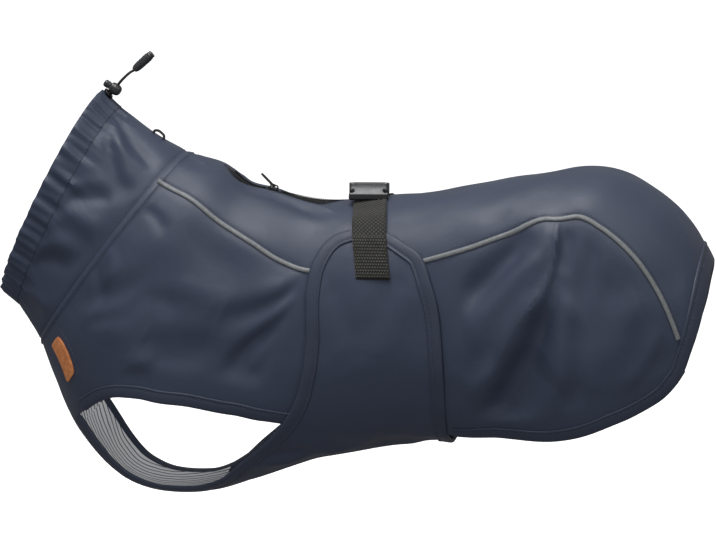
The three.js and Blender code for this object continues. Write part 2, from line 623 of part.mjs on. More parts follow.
function drawcord() {
  const ring = [[2.2, 0], [3, -0.7], [4, -0.6], [4.3, 0], [4, 0.6], [3, 0.7], [2.2, 0]];
  const nape = directions(eyeletStation, 0).out;
  const eyeletAt = skin(eyeletStation, 0, tunnelHigh(eyeletStation) + gap + 1.4);
  const up = eyeletAt.clone().add(nape);
  add('eyelet', turned(ring, eyeletAt.toArray(), up.toArray()), 'metal');
  for (const [side, name] of [[-1, 'drawcord_near'], [1, 'drawcord_far']]) {
    const points = strandRoute.map(([x, z]) => [x, (side * cord.apart) / 2, z]);
    add(name, tube(points, cord.radius), 'cord');
  }
  const aim = new THREE.Vector3(...lockAim).normalize();
  const lock = [[0, -4.6], [2.4, -4.4], [3.9, -3], [4.5, 0], [4.1, 2.6], [3.2, 3.9], [0, 4]];
  const ahead = (far) => spot(lockAt).addScaledVector(aim, far).toArray();
  add('cord_lock', turned(lock, lockAt, ahead(1)), 'plastic');
  const button = [[0, 0], [2.6, 0], [2.8, 1.6], [2.6, 4.4], [1.8, 5.2], [0, 5.4]];
  add('cord_lock_button', turned(button, ahead(4 + gap), ahead(12)), 'plastic');
  const length = spot(gripTo).distanceTo(spot(gripFrom));
  const grip = [
    [0, 0], [2.2, 0], [2.9, 1.6], [3.2, 6], [3.3, length - 6], [2.9, length - 1.5], [2, length], [0, length],
  ];
  add('cord_grip', turned(grip, gripFrom, gripTo), 'plastic');
}

// Small loop on the nape, and the blank leather label beside the chest seam
function trims() {
  const base = form(napeLoop.station, napeLoop.angle);
  const { tail, out } = directions(napeLoop.station, napeLoop.angle);
  const ahead = tail.clone().normalize();
  const points = [[-4.4, 2.4], [-4.5, 3.6], [-2.4, 5], [0.4, 5], [3.4, 4], [4.4, 2.4]].map(([a, h]) => (
    base.clone().addScaledVector(ahead, a).addScaledVector(out, h).toArray()
  ));
  add('nape_loop', tube(points, napeLoop.radius), 'cord');
  const rows = steps(6).map((t) => {
    const station = label.start + label.long * t;
    const edge = along(sideEdge, station) + label.near;
    const low = cloth + gap;
    return steps(3).map((u) => place(station, edge + label.wide * u, low, low + label.thick));
  });
  add('label', closedWall(cellsOf(rows)), 'leather');
}

collar();
backPanel();
sidePanels();
bellyFlap();
chestLining();
edgeTapes();
seamPiping();
straps();
girthBuckle();
backZip();
drawcord();
trims();

export default group;
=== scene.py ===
import math
import bpy
import numpy as np
from mathutils import Matrix, Vector


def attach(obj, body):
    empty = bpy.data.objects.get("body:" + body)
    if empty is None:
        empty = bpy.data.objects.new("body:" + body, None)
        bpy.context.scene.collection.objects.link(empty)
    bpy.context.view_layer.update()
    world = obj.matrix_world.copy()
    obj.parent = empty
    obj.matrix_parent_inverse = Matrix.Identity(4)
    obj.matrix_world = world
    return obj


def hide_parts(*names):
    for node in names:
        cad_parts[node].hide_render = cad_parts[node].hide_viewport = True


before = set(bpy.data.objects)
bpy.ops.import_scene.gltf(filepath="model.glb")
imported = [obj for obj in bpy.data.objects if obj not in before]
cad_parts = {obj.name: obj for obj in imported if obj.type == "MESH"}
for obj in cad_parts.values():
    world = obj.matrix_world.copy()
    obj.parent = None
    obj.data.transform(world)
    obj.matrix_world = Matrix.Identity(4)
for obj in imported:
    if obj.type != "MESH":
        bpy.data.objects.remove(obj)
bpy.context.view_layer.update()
scene = bpy.context.scene
print("frame loaded")

# Lengths are in millimetres until a mesh is made, then in metres.
# A place on the coat is a station, 0 at the neck rim to 14 at the tail edge, and an angle,
# 0 on the spine, 90 on the near flank and 180 in the middle of the belly.
coat = {
    "cloth": 1.4,  # outer face above the form
    "inner": 0.5,  # inner face of the visible cloth above the form
    "seamGap": -0.12,  # half the gap at a lengthwise seam, degrees; below 0 the panels lap
    "seamStep": -0.004,  # half the gap at a crosswise seam, stations
    "flapLift": 2.3,
    "legCorner": 3.86,
    "flapJoin": 6.12,
    "stripTurn": 148,  # angle where the chest strip meets the band
    "rearSeam": 13.4,
    "creaseDeep": 1.45,  # heights in the table of creases times this
    "sideTuck": 1.3,  # how far the flap's rear end lies in, on the flank and under the belly
    "bellyTuck": 3.4,
}

# back line x z, belly line x z, half the width, squareness of the section
sections = np.array([
    [-201, 77, -275, -70, 50, 2.0], [-188, 64, -262, -81, 50, 2.0],
    [-138, 33, -246, -108, 57, 2.1], [-108, 24, -234, -136, 65, 2.2],
    [-80, 10.5, -215, -176, 69, 2.3], [-51, 0.6, -176, -211, 72, 2.35],
    [-25, -1.6, -114, -214, 71, 2.35], [0, 0, -33, -186, 69, 2.3],
    [45, 6, 46, -176, 70, 2.3], [89, 14, 98, -184, 73, 2.4],
    [133, 22, 146, -193, 75, 2.4], [172, 25, 182, -194, 74, 2.4],
    [209, 11, 208, -187, 69, 2.3], [235, -13, 224, -179, 62, 2.2],
    [250, -40, 231, -170, 55, 2.1],
])

# Seam under the piping, lower edge of the side panel, edge of the chest strip: station, angle
pipingSeam = [
    (2, 41), (3.3, 44), (4.7, 47), (5.5, 52), (6.3, 58), (7.3, 63), (8, 61), (8.7, 57),
    (9.4, 51), (10, 45.2), (10.24, 46), (10.54, 45.4), (11.04, 51), (11.6, 59.5), (12.2, 70),
    (12.8, 82), (13.4, 94),
]
sideEdge = [
    (2, 138), (2.3, 132.5), (2.9, 129.5), (3.3, 130.5), (3.65, 138), (3.86, 145.5), (3.95, 134),
    (4.08, 124), (4.3, 116.5), (4.67, 110), (5.31, 106), (5.96, 109), (6.38, 116), (6.7, 124),
    (7.3, 136), (8.3, 145), (9.1, 136.5), (9.8, 133), (10.33, 129), (11.13, 122), (11.6, 119),
    (12.44, 112), (13, 104), (13.44, 95),
]
stripEdge = [
    (3.86, 146.5), (4.2, 148), (4.6, 151), (5, 155), (5.4, 157.5), (5.8, 157), (6, 153), (6.12, 148),
]
# Front and rear edges of the flap that wraps the girth: angle, station
flapFront = [
    (39.5, 6.95), (41.5, 6.62), (45, 6.45), (49, 6.37), (56, 6.33), (67, 6.41), (80, 6.57),
    (91, 6.69), (98, 6.72), (107, 6.72), (116, 6.67), (123, 6.59), (129, 6.49), (135, 6.34),
    (141, 6.21), (148, 6.12),
]
flapRear = [
    (39.5, 7.3), (44, 7.55), (51, 7.79), (59, 8.04), (72, 8.19), (83, 8.29), (93, 8.33),
    (106, 8.34), (123, 8.33), (145, 8.31), (180, 8.3),
]

# Folds: station and angle of both ends, width, height (below 0 a trough)
folds = [
    (1.1, 20, 1.9, 38, 6, -2.2), (1.05, 34, 1.8, 40, 6, 2), (1.1, 72, 1.9, 52, 8, -2.5),
    (1.1, 96, 1.9, 82, 8, 2.4), (1.1, 116, 1.9, 96, 8, -2.4), (2.6, 104, 3.4, 84, 9, -2.5),
    (3.2, 104, 4.3, 90, 8, 2.4), (6.1, 76, 4.6, 94, 9, -3.6), (6.1, 92, 4.9, 104, 8, -3),
    (6, 66, 4.9, 74, 9, 3), (4.9, 60, 3.4, 60, 10, -1.8), (10.15, 50, 9.8, 76, 8, 2.6),
    (9.6, 58, 8.7, 84, 9, -3.6), (9.75, 78, 8.9, 106, 9, 3.4), (9.9, 94, 9.1, 124, 12, -7),
    (10.4, 88, 9.9, 118, 10, 2.6), (11.3, 72, 10.9, 106, 14, -2),
    (1.1, -26, 1.9, -42, 7, -2), (1.1, -60, 1.9, -70, 8, 2.3), (1.1, -88, 1.9, -80, 8, -2.5),
    (1.1, -124, 1.9, -108, 8, -2), (2.5, -96, 3.5, -88, 9, -2.2), (6.1, -80, 4.5, -92, 9, -3.4),
    (6.1, -94, 4.8, -101, 7, 2.2), (5, -62, 3.5, -64, 10, -2), (9.5, -62, 8.8, -92, 10, -3.2),
    (10.3, -60, 9.5, -96, 9, 3), (10, -100, 9.4, -124, 11, -5), (11.5, -74, 10.8, -108, 13, -2.4),
    (3.3, -10, 4.9, -9, 6, 2.4),
]
flapFolds = [
    (6.75, 74, 7.25, 98, 9, 1.6), (7.95, 74, 7.5, 98, 9, 1.6), (6.6, 150, 7.3, 158, 7, 2),
    (7, 168, 8, 164, 7, 1.6), (6.8, -78, 7.3, -100, 9, 1.5), (7.9, -72, 7.6, -96, 9, 1.6),
    (6.7, -152, 7.5, -160, 7, 1.8),
]
# Creases along curved lines: width at both ends, height, then stations and angles of the line
creases = [
    (6, 9, -3.4, (6.5, 77), (6.12, 83), (5.85, 89), (5.6, 96)),
    (7, 11, 3.4, (6.4, 70), (6.0, 76), (5.5, 81), (5.0, 86)),
    (5, 10, -3.2, (6.31, 64), (5.84, 71), (5.41, 76), (5.0, 79)),
    (3.4, 4, -1.8, (6.42, 72), (6.1, 78), (5.8, 84), (5.55, 91)),
    (3.4, 4, 1.7, (6.36, 79), (6.1, 85), (5.85, 91)),
    (3.2, 4, -1.5, (6.38, 84), (6.2, 90), (5.95, 97)),
    (5, 8, -1.6, (6.45, 90), (6.1, 96), (5.7, 101)),
    (5, 8, 1.7, (6.45, 84), (6.1, 90), (5.7, 96)),
    (4, 7, -1.5, (2.97, 110), (3.34, 99), (3.68, 91)),
    (5, 8, 1.4, (3.1, 100), (3.5, 92), (3.9, 88)),
    (6, 6, -1.5, (4.05, 94), (4.37, 94), (4.65, 99)),
    (6, 8, 1.3, (4.0, 103), (4.4, 100), (4.8, 101)),
    (4, 5, -1.2, (3.5, 88), (3.95, 83), (4.3, 84)),
    (5, 7, 1.1, (3.9, 76), (4.5, 74), (5.1, 73)),
    (3, 6, -1.3, (2.2, 58), (2.6, 60), (3.1, 64)),
    (3, 5, 1.1, (2.15, 84), (2.4, 86), (2.8, 92)),
    (3, 5, -1.2, (2.15, 92), (2.5, 96), (2.9, 100)),
    (2.6, 3.5, 1.7, (3.6, 10), (3.95, 7.5), (4.34, 6.5), (4.97, 8), (5.5, 12), (6.2, 18)),
    (5, 6, -1.5, (3.7, 16), (4.34, 14), (4.97, 15), (5.5, 19), (6.1, 25)),
    (4, 5, 1.2, (2.05, 7), (2.3, 6), (2.7, 10)),
    (2.4, 2.8, 1.9, (10.24, 49), (10.21, 56), (10.13, 68), (9.95, 77), (9.55, 89)),
    (5, 7, -1.6, (10.42, 52), (10.4, 60), (10.3, 70)),
    (7, 10, -2.6, (9.75, 50), (9.45, 60), (9.0, 72), (8.4, 84)),
    (6, 9, 2.4, (9.9, 62), (9.5, 72), (9.1, 83), (8.7, 92)),
    (6, 7, 2.6, (10.0, 76), (9.65, 84), (9.35, 92), (8.95, 107), (8.75, 118)),
    (5, 9, -3.4, (10.12, 82), (9.85, 90), (9.5, 99), (9.25, 112), (9.1, 124)),
    (5, 8, -1.6, (9.2, 92), (8.95, 100), (8.7, 108)),
    (8, 12, 2.2, (10.45, 78), (10.2, 90), (10.0, 104)),
    (9, 13, 1.9, (11.8, 78), (11.2, 90), (10.6, 101)),
    (6, 12, -1.6, (10.9, 58), (10.75, 70), (10.5, 84)),
    (6, 8, -1.3, (10.6, 104), (10.3, 109), (10.1, 113)),
    (5, 7, 0.9, (12.4, 86), (12.0, 95), (11.5, 104)),
    (3, 6, 1.6, (1.12, 20), (1.39, 38), (1.76, 53)),
    (3, 6, -1.4, (1.1, 30), (1.35, 46), (1.7, 58)),
    (3, 6, -2.0, (1.05, 80), (1.36, 72), (1.65, 64)),
    (3, 6, 1.6, (1.05, 72), (1.3, 65), (1.6, 58)),
    (3, 7, -2.0, (1.06, 96), (1.46, 90), (1.85, 87)),
    (3, 6, 1.7, (1.06, 88), (1.4, 82), (1.8, 78)),
    (3, 6, -1.6, (1.06, 118), (1.4, 108), (1.7, 104)),
    (3, 5, 1.3, (1.06, 108), (1.35, 100), (1.6, 96)),
    (3, 6, 1.2, (1.06, 140), (1.5, 132), (1.9, 130)),
    (6, 9, -2.3, (6.5, -76), (6.1, -84), (5.7, -92)),
    (7, 10, 2.4, (6.4, -68), (5.9, -78), (5.2, -86)),
    (5, 9, -1.9, (6.3, -62), (5.7, -70), (5.1, -76)),
    (4, 7, -1.4, (3.0, -112), (3.4, -100), (3.8, -94)),
    (6, 7, 1.4, (4.1, -92), (4.5, -96), (4.9, -100)),
    (3, 5, 1.2, (2.15, -70), (2.5, -76), (2.9, -80)),
    (2.6, 3.5, -1.4, (3.6, -12), (4.3, -9), (5.0, -11), (5.7, -16)),
    (2.4, 2.8, 1.9, (10.24, -49), (10.2, -58), (10.1, -70), (9.85, -82)),
    (7, 10, -2.5, (9.7, -52), (9.3, -64), (8.8, -80)),
    (6, 8, 2.3, (9.95, -72), (9.5, -86), (9.0, -104)),
    (6, 9, -2.8, (10.05, -88), (9.7, -100), (9.3, -116)),
    (8, 12, 2.0, (11.6, -76), (11.0, -90), (10.5, -102)),
    (6, 11, -1.5, (10.8, -60), (10.7, -74), (10.5, -88)),
    (3, 6, 1.6, (1.1, -22), (1.4, -36), (1.8, -48)),
    (3, 6, -1.9, (1.05, -54), (1.4, -60), (1.75, -56)),
    (3, 6, 1.6, (1.06, -82), (1.4, -76), (1.7, -70)),
    (3, 6, -1.7, (1.06, -100), (1.45, -96), (1.85, -90)),
    (3, 6, 1.4, (1.06, -134), (1.45, -124), (1.8, -118)),
]
# Creases of the belly flap, the same way
flapCreases = [
    (7, 9, 1.5, (7.2, 58), (7.25, 72), (7.35, 88)),
    (6, 9, -1.3, (6.85, 66), (7.0, 80), (7.2, 92)),
    (7, 9, -1.2, (7.75, 66), (7.6, 80), (7.45, 94)),
    (3, 5, 1.7, (6.35, 141), (6.6, 148), (6.8, 158)),
    (3, 4, -1.3, (6.5, 138), (6.8, 146), (7.0, 158)),
    (3, 4, 1.4, (6.75, 137), (7.0, 146), (7.2, 160)),
    (4, 5, -1.0, (7.5, 140), (7.6, 152), (7.5, 166)),
    (4, 5, 1.1, (8.05, 146), (7.9, 158), (7.8, 172)),
    (3, 4, 0.9, (6.2, 158), (6.5, 166), (6.9, 174)),
    (7, 9, 1.4, (7.2, -58), (7.3, -74), (7.3, -90)),
    (6, 9, -1.2, (6.9, -66), (7.05, -82), (7.2, -96)),
    (3, 5, 1.5, (6.4, -142), (6.7, -150), (7.0, -162)),
    (3, 4, -1.1, (6.6, -140), (6.95, -150), (7.2, -162)),
    (4, 5, 1.0, (8.0, -148), (7.8, -160), (7.7, -172)),
]
stationLength = 43  # mean length of one station, for the width of a fold
turnLength = 80 * math.pi / 180  # mean length of one degree round the coat


def smooth(value, low, high):
    t = np.clip((value - low) / (high - low), 0, 1)
    return t * t * (3 - 2 * t)


# Value of a table at a place, with no overshoot between its rows
def along(table, at):
    places, values = np.array(table, float).T
    slopes = np.diff(values) / np.diff(places)
    product = slopes[:-1] * slopes[1:]
    total = slopes[:-1] + slopes[1:]
    inside = np.where(product > 0, 2 * product / np.where(total == 0, 1, total), 0)
    leans = np.concatenate([slopes[:1], inside, slopes[-1:]])
    at = np.asarray(at, float)
    i = np.clip(np.searchsorted(places, at, side="left") - 1, 0, len(places) - 2)
    span = places[i + 1] - places[i]
    t = np.clip((at - places[i]) / span, 0, 1)
    start, end = values[i], values[i + 1]
    leanIn, leanOut = leans[i] * span, leans[i + 1] * span
    square = t * t
    cube = square * t
    return (start + t * leanIn + square * (3 * (end - start) - 2 * leanIn - leanOut)
            + cube * (2 * (start - end) + leanIn + leanOut))


# Smooth curve through four rows, at t between the middle two
def throughRows(a, b, c, d, t):
    return 0.5 * (2 * b + (c - a) * t + (2 * a - 5 * b + 4 * c - d) * t ** 2
                  + (3 * b - a - 3 * c + d) * t ** 3)

def sectionAt(station):
    station = np.asarray(station, float)
    i = np.clip(np.floor(station).astype(int), 0, len(sections) - 2)
    a, b, c, d = [sections[np.clip(i + k, 0, len(sections) - 1)] for k in (-1, 0, 1, 2)]
    return throughRows(a, b, c, d, (station - i)[..., None])


# Smooth body form, before any fold
def form(station, angle):
    station, angle = np.broadcast_arrays(np.asarray(station, float), np.asarray(angle, float))
    row = sectionAt(station)
    power = 2 / row[..., 5]
    turn = np.radians(angle)
    across = np.sign(np.sin(turn)) * np.abs(np.sin(turn)) ** power
    down = (1 - np.sign(np.cos(turn)) * np.abs(np.cos(turn)) ** power) / 2
    return np.stack([
        row[..., 0] + (row[..., 2] - row[..., 0]) * down,
        -row[..., 4] * across,
        row[..., 1] + (row[..., 3] - row[..., 1]) * down,
    ], -1)


# Length along a line of points, from 0
def runOf(points):
    return np.concatenate([[0], np.cumsum(np.linalg.norm(np.diff(points, axis=0), axis=-1))])

def roundTurns(sides):
    return np.linspace(0, 2 * np.pi, sides, endpoint=False)

def unit(vectors):
    return vectors / np.maximum(np.linalg.norm(vectors, axis=-1, keepdims=True), 1e-9)


# Directions on the form: to the tail, round the coat, and outwards
def directions(station, angle):
    station, angle = np.broadcast_arrays(np.asarray(station, float), np.asarray(angle, float))
    tail = (form(station + 0.05, angle) - form(station - 0.05, angle)) / 0.1
    around = (form(station, angle + 1.5) - form(station, angle - 1.5)) / 3
    return tail, around, unit(np.cross(around, tail))


def foldHeight(table, station, angle):
    height = np.zeros(np.broadcast(station, angle).shape)
    for fromStation, fromAngle, toStation, toAngle, wide, high in table:
        runX = (toStation - fromStation) * stationLength
        runY = ((toAngle - fromAngle + 540) % 360 - 180) * turnLength
        hereX = (station - fromStation) * stationLength
        hereY = ((angle - fromAngle + 540) % 360 - 180) * turnLength
        t = np.clip((hereX * runX + hereY * runY) / (runX ** 2 + runY ** 2), 0, 1)
        away = np.hypot(hereX - t * runX, hereY - t * runY) / wide
        height = height + high * np.exp(-away ** 2) * (1 - 0.5 * (2 * t - 1) ** 4)
    return height


# Height of curved creases: each fades towards both ends
def creaseHeight(table, station, angle):
    height = np.zeros(np.broadcast(station, angle).shape)
    for wideFrom, wideTo, high, *line in table:
        line = np.array(line, float)
        hereX = (station - line[0, 0]) * stationLength
        hereY = ((angle - line[0, 1] + 540) % 360 - 180) * turnLength
        knots = (line - line[0]) * (stationLength, turnLength)
        lengths = np.hypot(*np.diff(knots, axis=0).T)
        total = lengths.sum()
        best = np.full(height.shape, 1e9)
        where = np.zeros(height.shape)
        done = 0
        for (x, y), (toX, toY), length in zip(knots[:-1], knots[1:], lengths):
            t = np.clip(((hereX - x) * (toX - x) + (hereY - y) * (toY - y)) / length ** 2, 0, 1)
            away = np.hypot(hereX - x - t * (toX - x), hereY - y - t * (toY - y))
            where = np.where(away < best, (done + t * length) / total, where)
            best = np.minimum(away, best)
            done += length
        wide = wideFrom + (wideTo - wideFrom) * where
        height = height + high * np.exp(-(best / wide) ** 2) * (1 - 0.75 * (2 * where - 1) ** 4)
    return height


def turnOf(angle):
    return np.abs(np.where(angle > 180, 360 - angle, angle))


def underFlap(station, angle):
    return smooth(turnOf(angle), 34, 40) * smooth(station, 5.9, 6.3) * (1 - smooth(station, 8.4, 8.9))


# The cloth lies flat at seams, at edges and under the flap
def settle(station, angle):
    seam = smooth(np.abs(station - 2), 0.02, 0.3) * smooth(station, 1, 1.25)
    hem = along(sideEdge, np.maximum(station, 2))
    inside = np.where(station < 2, 1, 1 - smooth(turnOf(angle), hem - 17, hem - 10))
    return seam * inside * (1 - underFlap(station, angle)) * (1 - smooth(station, 12.6, 13.3))


# Slow unevenness of soft cloth, the same on every run
softness = {"seed": 11, "waves": 22, "longest": 90, "shortest": 26, "high": 0.16}
draws = np.random.default_rng(softness["seed"])
waveLengths = np.geomspace(softness["longest"], softness["shortest"], softness["waves"])
waveRuns = unit(draws.normal(size=(softness["waves"], 3))) * (2 * math.pi / waveLengths)[:, None]
wavePhases = draws.uniform(0, 2 * math.pi, softness["waves"])


def unevenness(points):
    return softness["high"] * np.sin(points @ waveRuns.T + wavePhases).sum(-1)


# Gathers that the drawcord pulls into the neck
gather = {"count": 27, "deep": 1.0, "fine": 61, "fineDeep": 0.55, "from": 0.9, "to": 1.6}


def gathers(station, angle):
    turn = np.radians(angle)
    main = np.sin(gather["count"] * turn + 1.7 * np.sin(5 * turn))
    small = np.sin(gather["fine"] * turn + 2.3 * np.sin(3 * turn) + 2.5 * station)
    return gather["deep"] * main + gather["fineDeep"] * small


# The cloth sinks beside the zip, more on the near side; the zip itself sags a little
zipSoft = {"sag": 4.2, "sagAt": 3.72, "sagLong": 0.46, "sagWide": 32, "beside": 3,
           "near": 3.2, "nearWide": 8, "far": 3.0, "farWide": 11}

def zipSag(station):
    return zipSoft["sag"] * np.exp(-((station - zipSoft["sagAt"]) / zipSoft["sagLong"]) ** 2)

def zipDip(station, angle):
    row = sectionAt(station)
    aside = np.abs(row[..., 4] * np.sin(np.radians(np.clip(angle, -60, 60))))
    beside = np.maximum(aside - zipSoft["beside"], 0)
    near = zipSoft["near"] * np.exp(-(beside / zipSoft["nearWide"]) ** 2)
    far = zipSoft["far"] * np.exp(-(beside / zipSoft["farWide"]) ** 2)
    sunk = np.where(angle > 0, near, far) * smooth(station, 3.0, 3.4) * (1 - smooth(station, 5.4, 6.2))
    return zipSag(station) * np.exp(-(aside / zipSoft["sagWide"]) ** 2) + sunk

# Heights of the seams' steps, below 0 a dip
seams = {"felled": 0.45, "topstitch": -0.35, "collar": -0.8, "side": -0.7}

def dips(station, angle):
    felled = seams["felled"] * smooth(station, 1.995, 2.02) * (1 - smooth(station, 2.12, 2.15))
    topstitch = seams["topstitch"] * np.exp(-((station - 2.165) * 48 / 1.3) ** 2)
    collar = seams["collar"] * np.exp(-((station - 2) * 48 / 2.4) ** 2)
    rise = (turnOf(angle) - along(pipingSeam, np.maximum(station, 2))) * 1.25
    side = seams["side"] * np.exp(-(rise / 3) ** 2) * smooth(station, 2, 2.1)
    side = side * (1 - smooth(station, 13, 13.3))
    sewn = (felled + topstitch + collar + side) * (1 - underFlap(station, angle))
    return sewn - zipDip(station, angle)

def creased(station, angle):
    drawn = 1 - smooth(station, gather["from"], gather["to"])
    loose = settle(station, angle)
    rest = 0.35 + 0.65 * loose
    folded = foldHeight(folds, station, angle) + coat["creaseDeep"] * creaseHeight(creases, station, angle)
    return (folded * loose + drawn * gathers(station, angle)
            + unevenness(form(station, angle)) * rest + dips(station, angle))


# Point of the cloth at a height above its inner face
def skin(station, angle, height):
    out = directions(station, angle)[2]
    return form(station, angle) + out * (creased(station, angle) + height)[..., None]


# The place reached by going so many mm along a vector on the cloth
def stepTo(station, angle, move):
    tail, around, _ = directions(station, angle)
    a, b, c = (tail * tail).sum(-1), (tail * around).sum(-1), (around * around).sum(-1)
    p, q = (tail * move).sum(-1), (around * move).sum(-1)
    size = a * c - b * b
    return station + (c * p - b * q) / size, angle + (a * q - b * p) / size


# Length along and round the coat, for the patterns of the cloth
mapStations = np.linspace(0, 14, 281)
mapAngles = np.linspace(0, 180, 121)
mapPoints = form(mapStations[:, None], mapAngles[None, :])
lengthAlong = np.zeros(mapPoints.shape[:2])
lengthRound = np.zeros(mapPoints.shape[:2])
lengthAlong[1:] = np.cumsum(np.linalg.norm(np.diff(mapPoints, axis=0), axis=-1), axis=0)
lengthRound[:, 1:] = np.cumsum(np.linalg.norm(np.diff(mapPoints, axis=1), axis=-1), axis=1)


def lookUp(table, station, angle):
    rows, columns = len(mapStations) - 1, len(mapAngles) - 1
    row = np.clip(station / 14 * rows, 0, rows - 0.001)
    column = np.clip(angle / 180 * columns, 0, columns - 0.001)
    i, j = row.astype(int), column.astype(int)
    s, t = row - i, column - j
    return (table[i, j] * (1 - s) * (1 - t) + table[i + 1, j] * s * (1 - t)
            + table[i, j + 1] * (1 - s) * t + table[i + 1, j + 1] * s * t)


def clothMap(station, angle):
    turn = turnOf(angle)
    reach = lookUp(lengthRound, station, turn)
    belly = lookUp(lengthRound, station, np.full_like(turn, 180.0))
    around = np.where(angle < 0, -reach, np.where(angle > 180, 2 * belly - reach, reach))
    return np.stack([lookUp(lengthAlong, station, turn), around], -1) * 0.001


pieces = {}

def link(name, mesh):
    piece = bpy.data.objects.new(name, mesh)
    scene.collection.objects.link(piece)
    return piece


def makePiece(name, points, faces, finishes, maps=None, faceFinish=None, sharp=40):
    mesh = bpy.data.meshes.new(name)
    mesh.from_pydata((np.asarray(points) * 0.001).tolist(), [], [list(map(int, f)) for f in faces])
    for finish in finishes:
        mesh.materials.append(finish)
    if faceFinish is not None:
        mesh.polygons.foreach_set("material_index", np.asarray(faceFinish, np.int32))
    mesh.polygons.foreach_set("use_smooth", np.ones(len(mesh.polygons), bool))
    if maps is not None:
        layer = mesh.uv_layers.new(name="clothMap")
        layer.data.foreach_set("uv", np.asarray(maps, np.float32).ravel())
    mesh.update()
    mesh.set_sharp_from_angle(angle=math.radians(sharp))
    pieces[name] = link(name, mesh)
    return pieces[name]


def flipIfInside(points, faces):
    volume = 0.0
    for size in (3, 4):
        group = np.array([f for f in faces if len(f) == size], int)
        if len(group):
            corners = points[group]
            for k in range(1, size - 1):
                cross = np.cross(corners[:, k], corners[:, k + 1])
                volume += (corners[:, 0] * cross).sum()
    return volume < 0


def gridQuads(index):
    return np.stack([index[:-1, :-1], index[:-1, 1:], index[1:, 1:], index[1:, :-1]], -1).reshape(-1, 4)

# A thin closed shell over grids of places, with the lining on its inner face
def clothShell(name, patches, finish, lining, low=coat["inner"], high=coat["cloth"], raised=None):
    stations, angles, quads, start = [], [], [], 0
    for station, angle in patches:
        quads.append(gridQuads(start + np.arange(station.size).reshape(station.shape)))
        start += station.size
        stations.append(station.ravel())
        angles.append(angle.ravel())
    station, angle, quads = np.concatenate(stations), np.concatenate(angles), np.concatenate(quads)
    wrapped = (angle + 180) % 360 - 180
    key = np.stack([np.round(station * 2e3), np.round(wrapped * 2e2)], -1)
    first, inverse = np.unique(key, axis=0, return_index=True, return_inverse=True)[1:]
    inverse = inverse.ravel()
    cornerMap = clothMap(station, angle)[quads]
    quads = inverse[quads]
    station, angle = station[first], wrapped[first]
    lift = raised(station, angle) if raised else np.zeros(len(station))
    lowPoints = skin(station, angle, lift + low)
    highPoints = skin(station, angle, lift + (high(station, angle) if callable(high) else high))
    count = len(station)
    edges = quads[:, [[0, 1], [1, 2], [2, 3], [3, 0]]].reshape(-1, 2)
    edgeMaps = cornerMap[:, [[0, 1], [1, 2], [2, 3], [3, 0]]].reshape(-1, 2, 2)
    pair = np.sort(edges, axis=1) @ [count, 1]
    _, pairIndex, pairCount = np.unique(pair, return_inverse=True, return_counts=True)
    rim = pairCount[pairIndex.ravel()] == 1
    p, q = edges[rim].T
    rimMap = edgeMaps[rim]
    rimFaces = np.stack([q, p, p + count, q + count], -1)
    rimMaps = np.stack([rimMap[:, 1], rimMap[:, 0], rimMap[:, 0], rimMap[:, 1]], 1)
    faces = np.concatenate([quads, quads[:, ::-1] + count, rimFaces])
    maps = np.concatenate([cornerMap, cornerMap[:, ::-1], rimMaps])
    points = np.concatenate([lowPoints, highPoints])
    if flipIfInside(points, faces):
        faces, maps = faces[:, ::-1], maps[:, ::-1]
    inside = np.concatenate([np.ones(len(quads), int), np.zeros(len(quads) + len(rimFaces), int)])
    makePiece(name, points, faces, [finish, lining], maps.reshape(-1, 2), inside)
    size = np.linalg.norm(np.cross(highPoints[quads[:, 1]] - highPoints[quads[:, 0]],
                                   highPoints[quads[:, 3]] - highPoints[quads[:, 0]]), axis=-1).sum()
    print(name, len(faces), "faces,", round(size * 1e-6, 4), "m2")


# A closed body through rings of points, with flat ends
def ringBody(name, rings, finish, sharp=45):
    rings = np.asarray(rings, float)
    rows, columns = rings.shape[:2]
    index = np.arange(rows * columns).reshape(rows, columns)
    before, after = index[:-1], index[1:]
    turned = np.roll(np.arange(columns), -1)
    quads = np.stack([before, before[:, turned], after[:, turned], after], -1).reshape(-1, 4)
    lengths, widths = runOf(rings.mean(1)), runOf(rings.mean(0))
    spot = np.stack(np.broadcast_arrays(lengths[:, None], widths[None, :]), -1).reshape(-1, 2) * 0.001
    faces = quads.tolist() + [index[0, ::-1].tolist(), index[-1].tolist()]
    points = rings.reshape(-1, 3)
    if flipIfInside(points, quads):
        faces = [face[::-1] for face in faces]
    maps = [corner for face in faces for corner in spot[face].tolist()]
    makePiece(name, points, faces, [finish], maps, None, sharp)

# Rings of a profile of (aside, height) carried along a line of places
def carried(station, angle, profile, toCloth, raised=None):
    points = form(station, angle)
    ahead = unit(np.gradient(points, axis=0))
    side = unit(np.cross(directions(station, angle)[2], ahead)) * toCloth
    rings = []
    for aside, height in profile:
        s, a = stepTo(station, angle, side * aside)
        lift = raised(s, a) if raised else 0
        rings.append(skin(s, a, height + lift))
    return np.stack(rings, 1)


def spread(start, end, count):
    return np.linspace(start, end, count + 1)


# Points spaced evenly in length along a line of places
def evenLine(station, angle, spacing):
    points = form(station, angle)
    run = runOf(points)
    even = np.linspace(0, run[-1], max(int(run[-1] / spacing), 2) + 1)
    return np.interp(even, run, station), np.interp(even, run, angle)


def newNode(tree, kind, settings=None, **inputs):
    item = tree.nodes.new(kind)
    for key, value in (settings or {}).items():
        setattr(item, key, value)
    for key, value in inputs.items():
        socket = item.inputs[int(key[1:])] if key[0] == "i" and key[1:].isdigit() else item.inputs[key]
        if isinstance(value, bpy.types.NodeSocket):
            tree.links.new(value, socket)
        else:
            socket.default_value = value
    return item


def noise(tree, coords, size, detail):
    made = newNode(tree, "ShaderNodeTexNoise", Vector=coords, Scale=size, Detail=detail, Roughness=0.5)
    return made.outputs["Fac"]


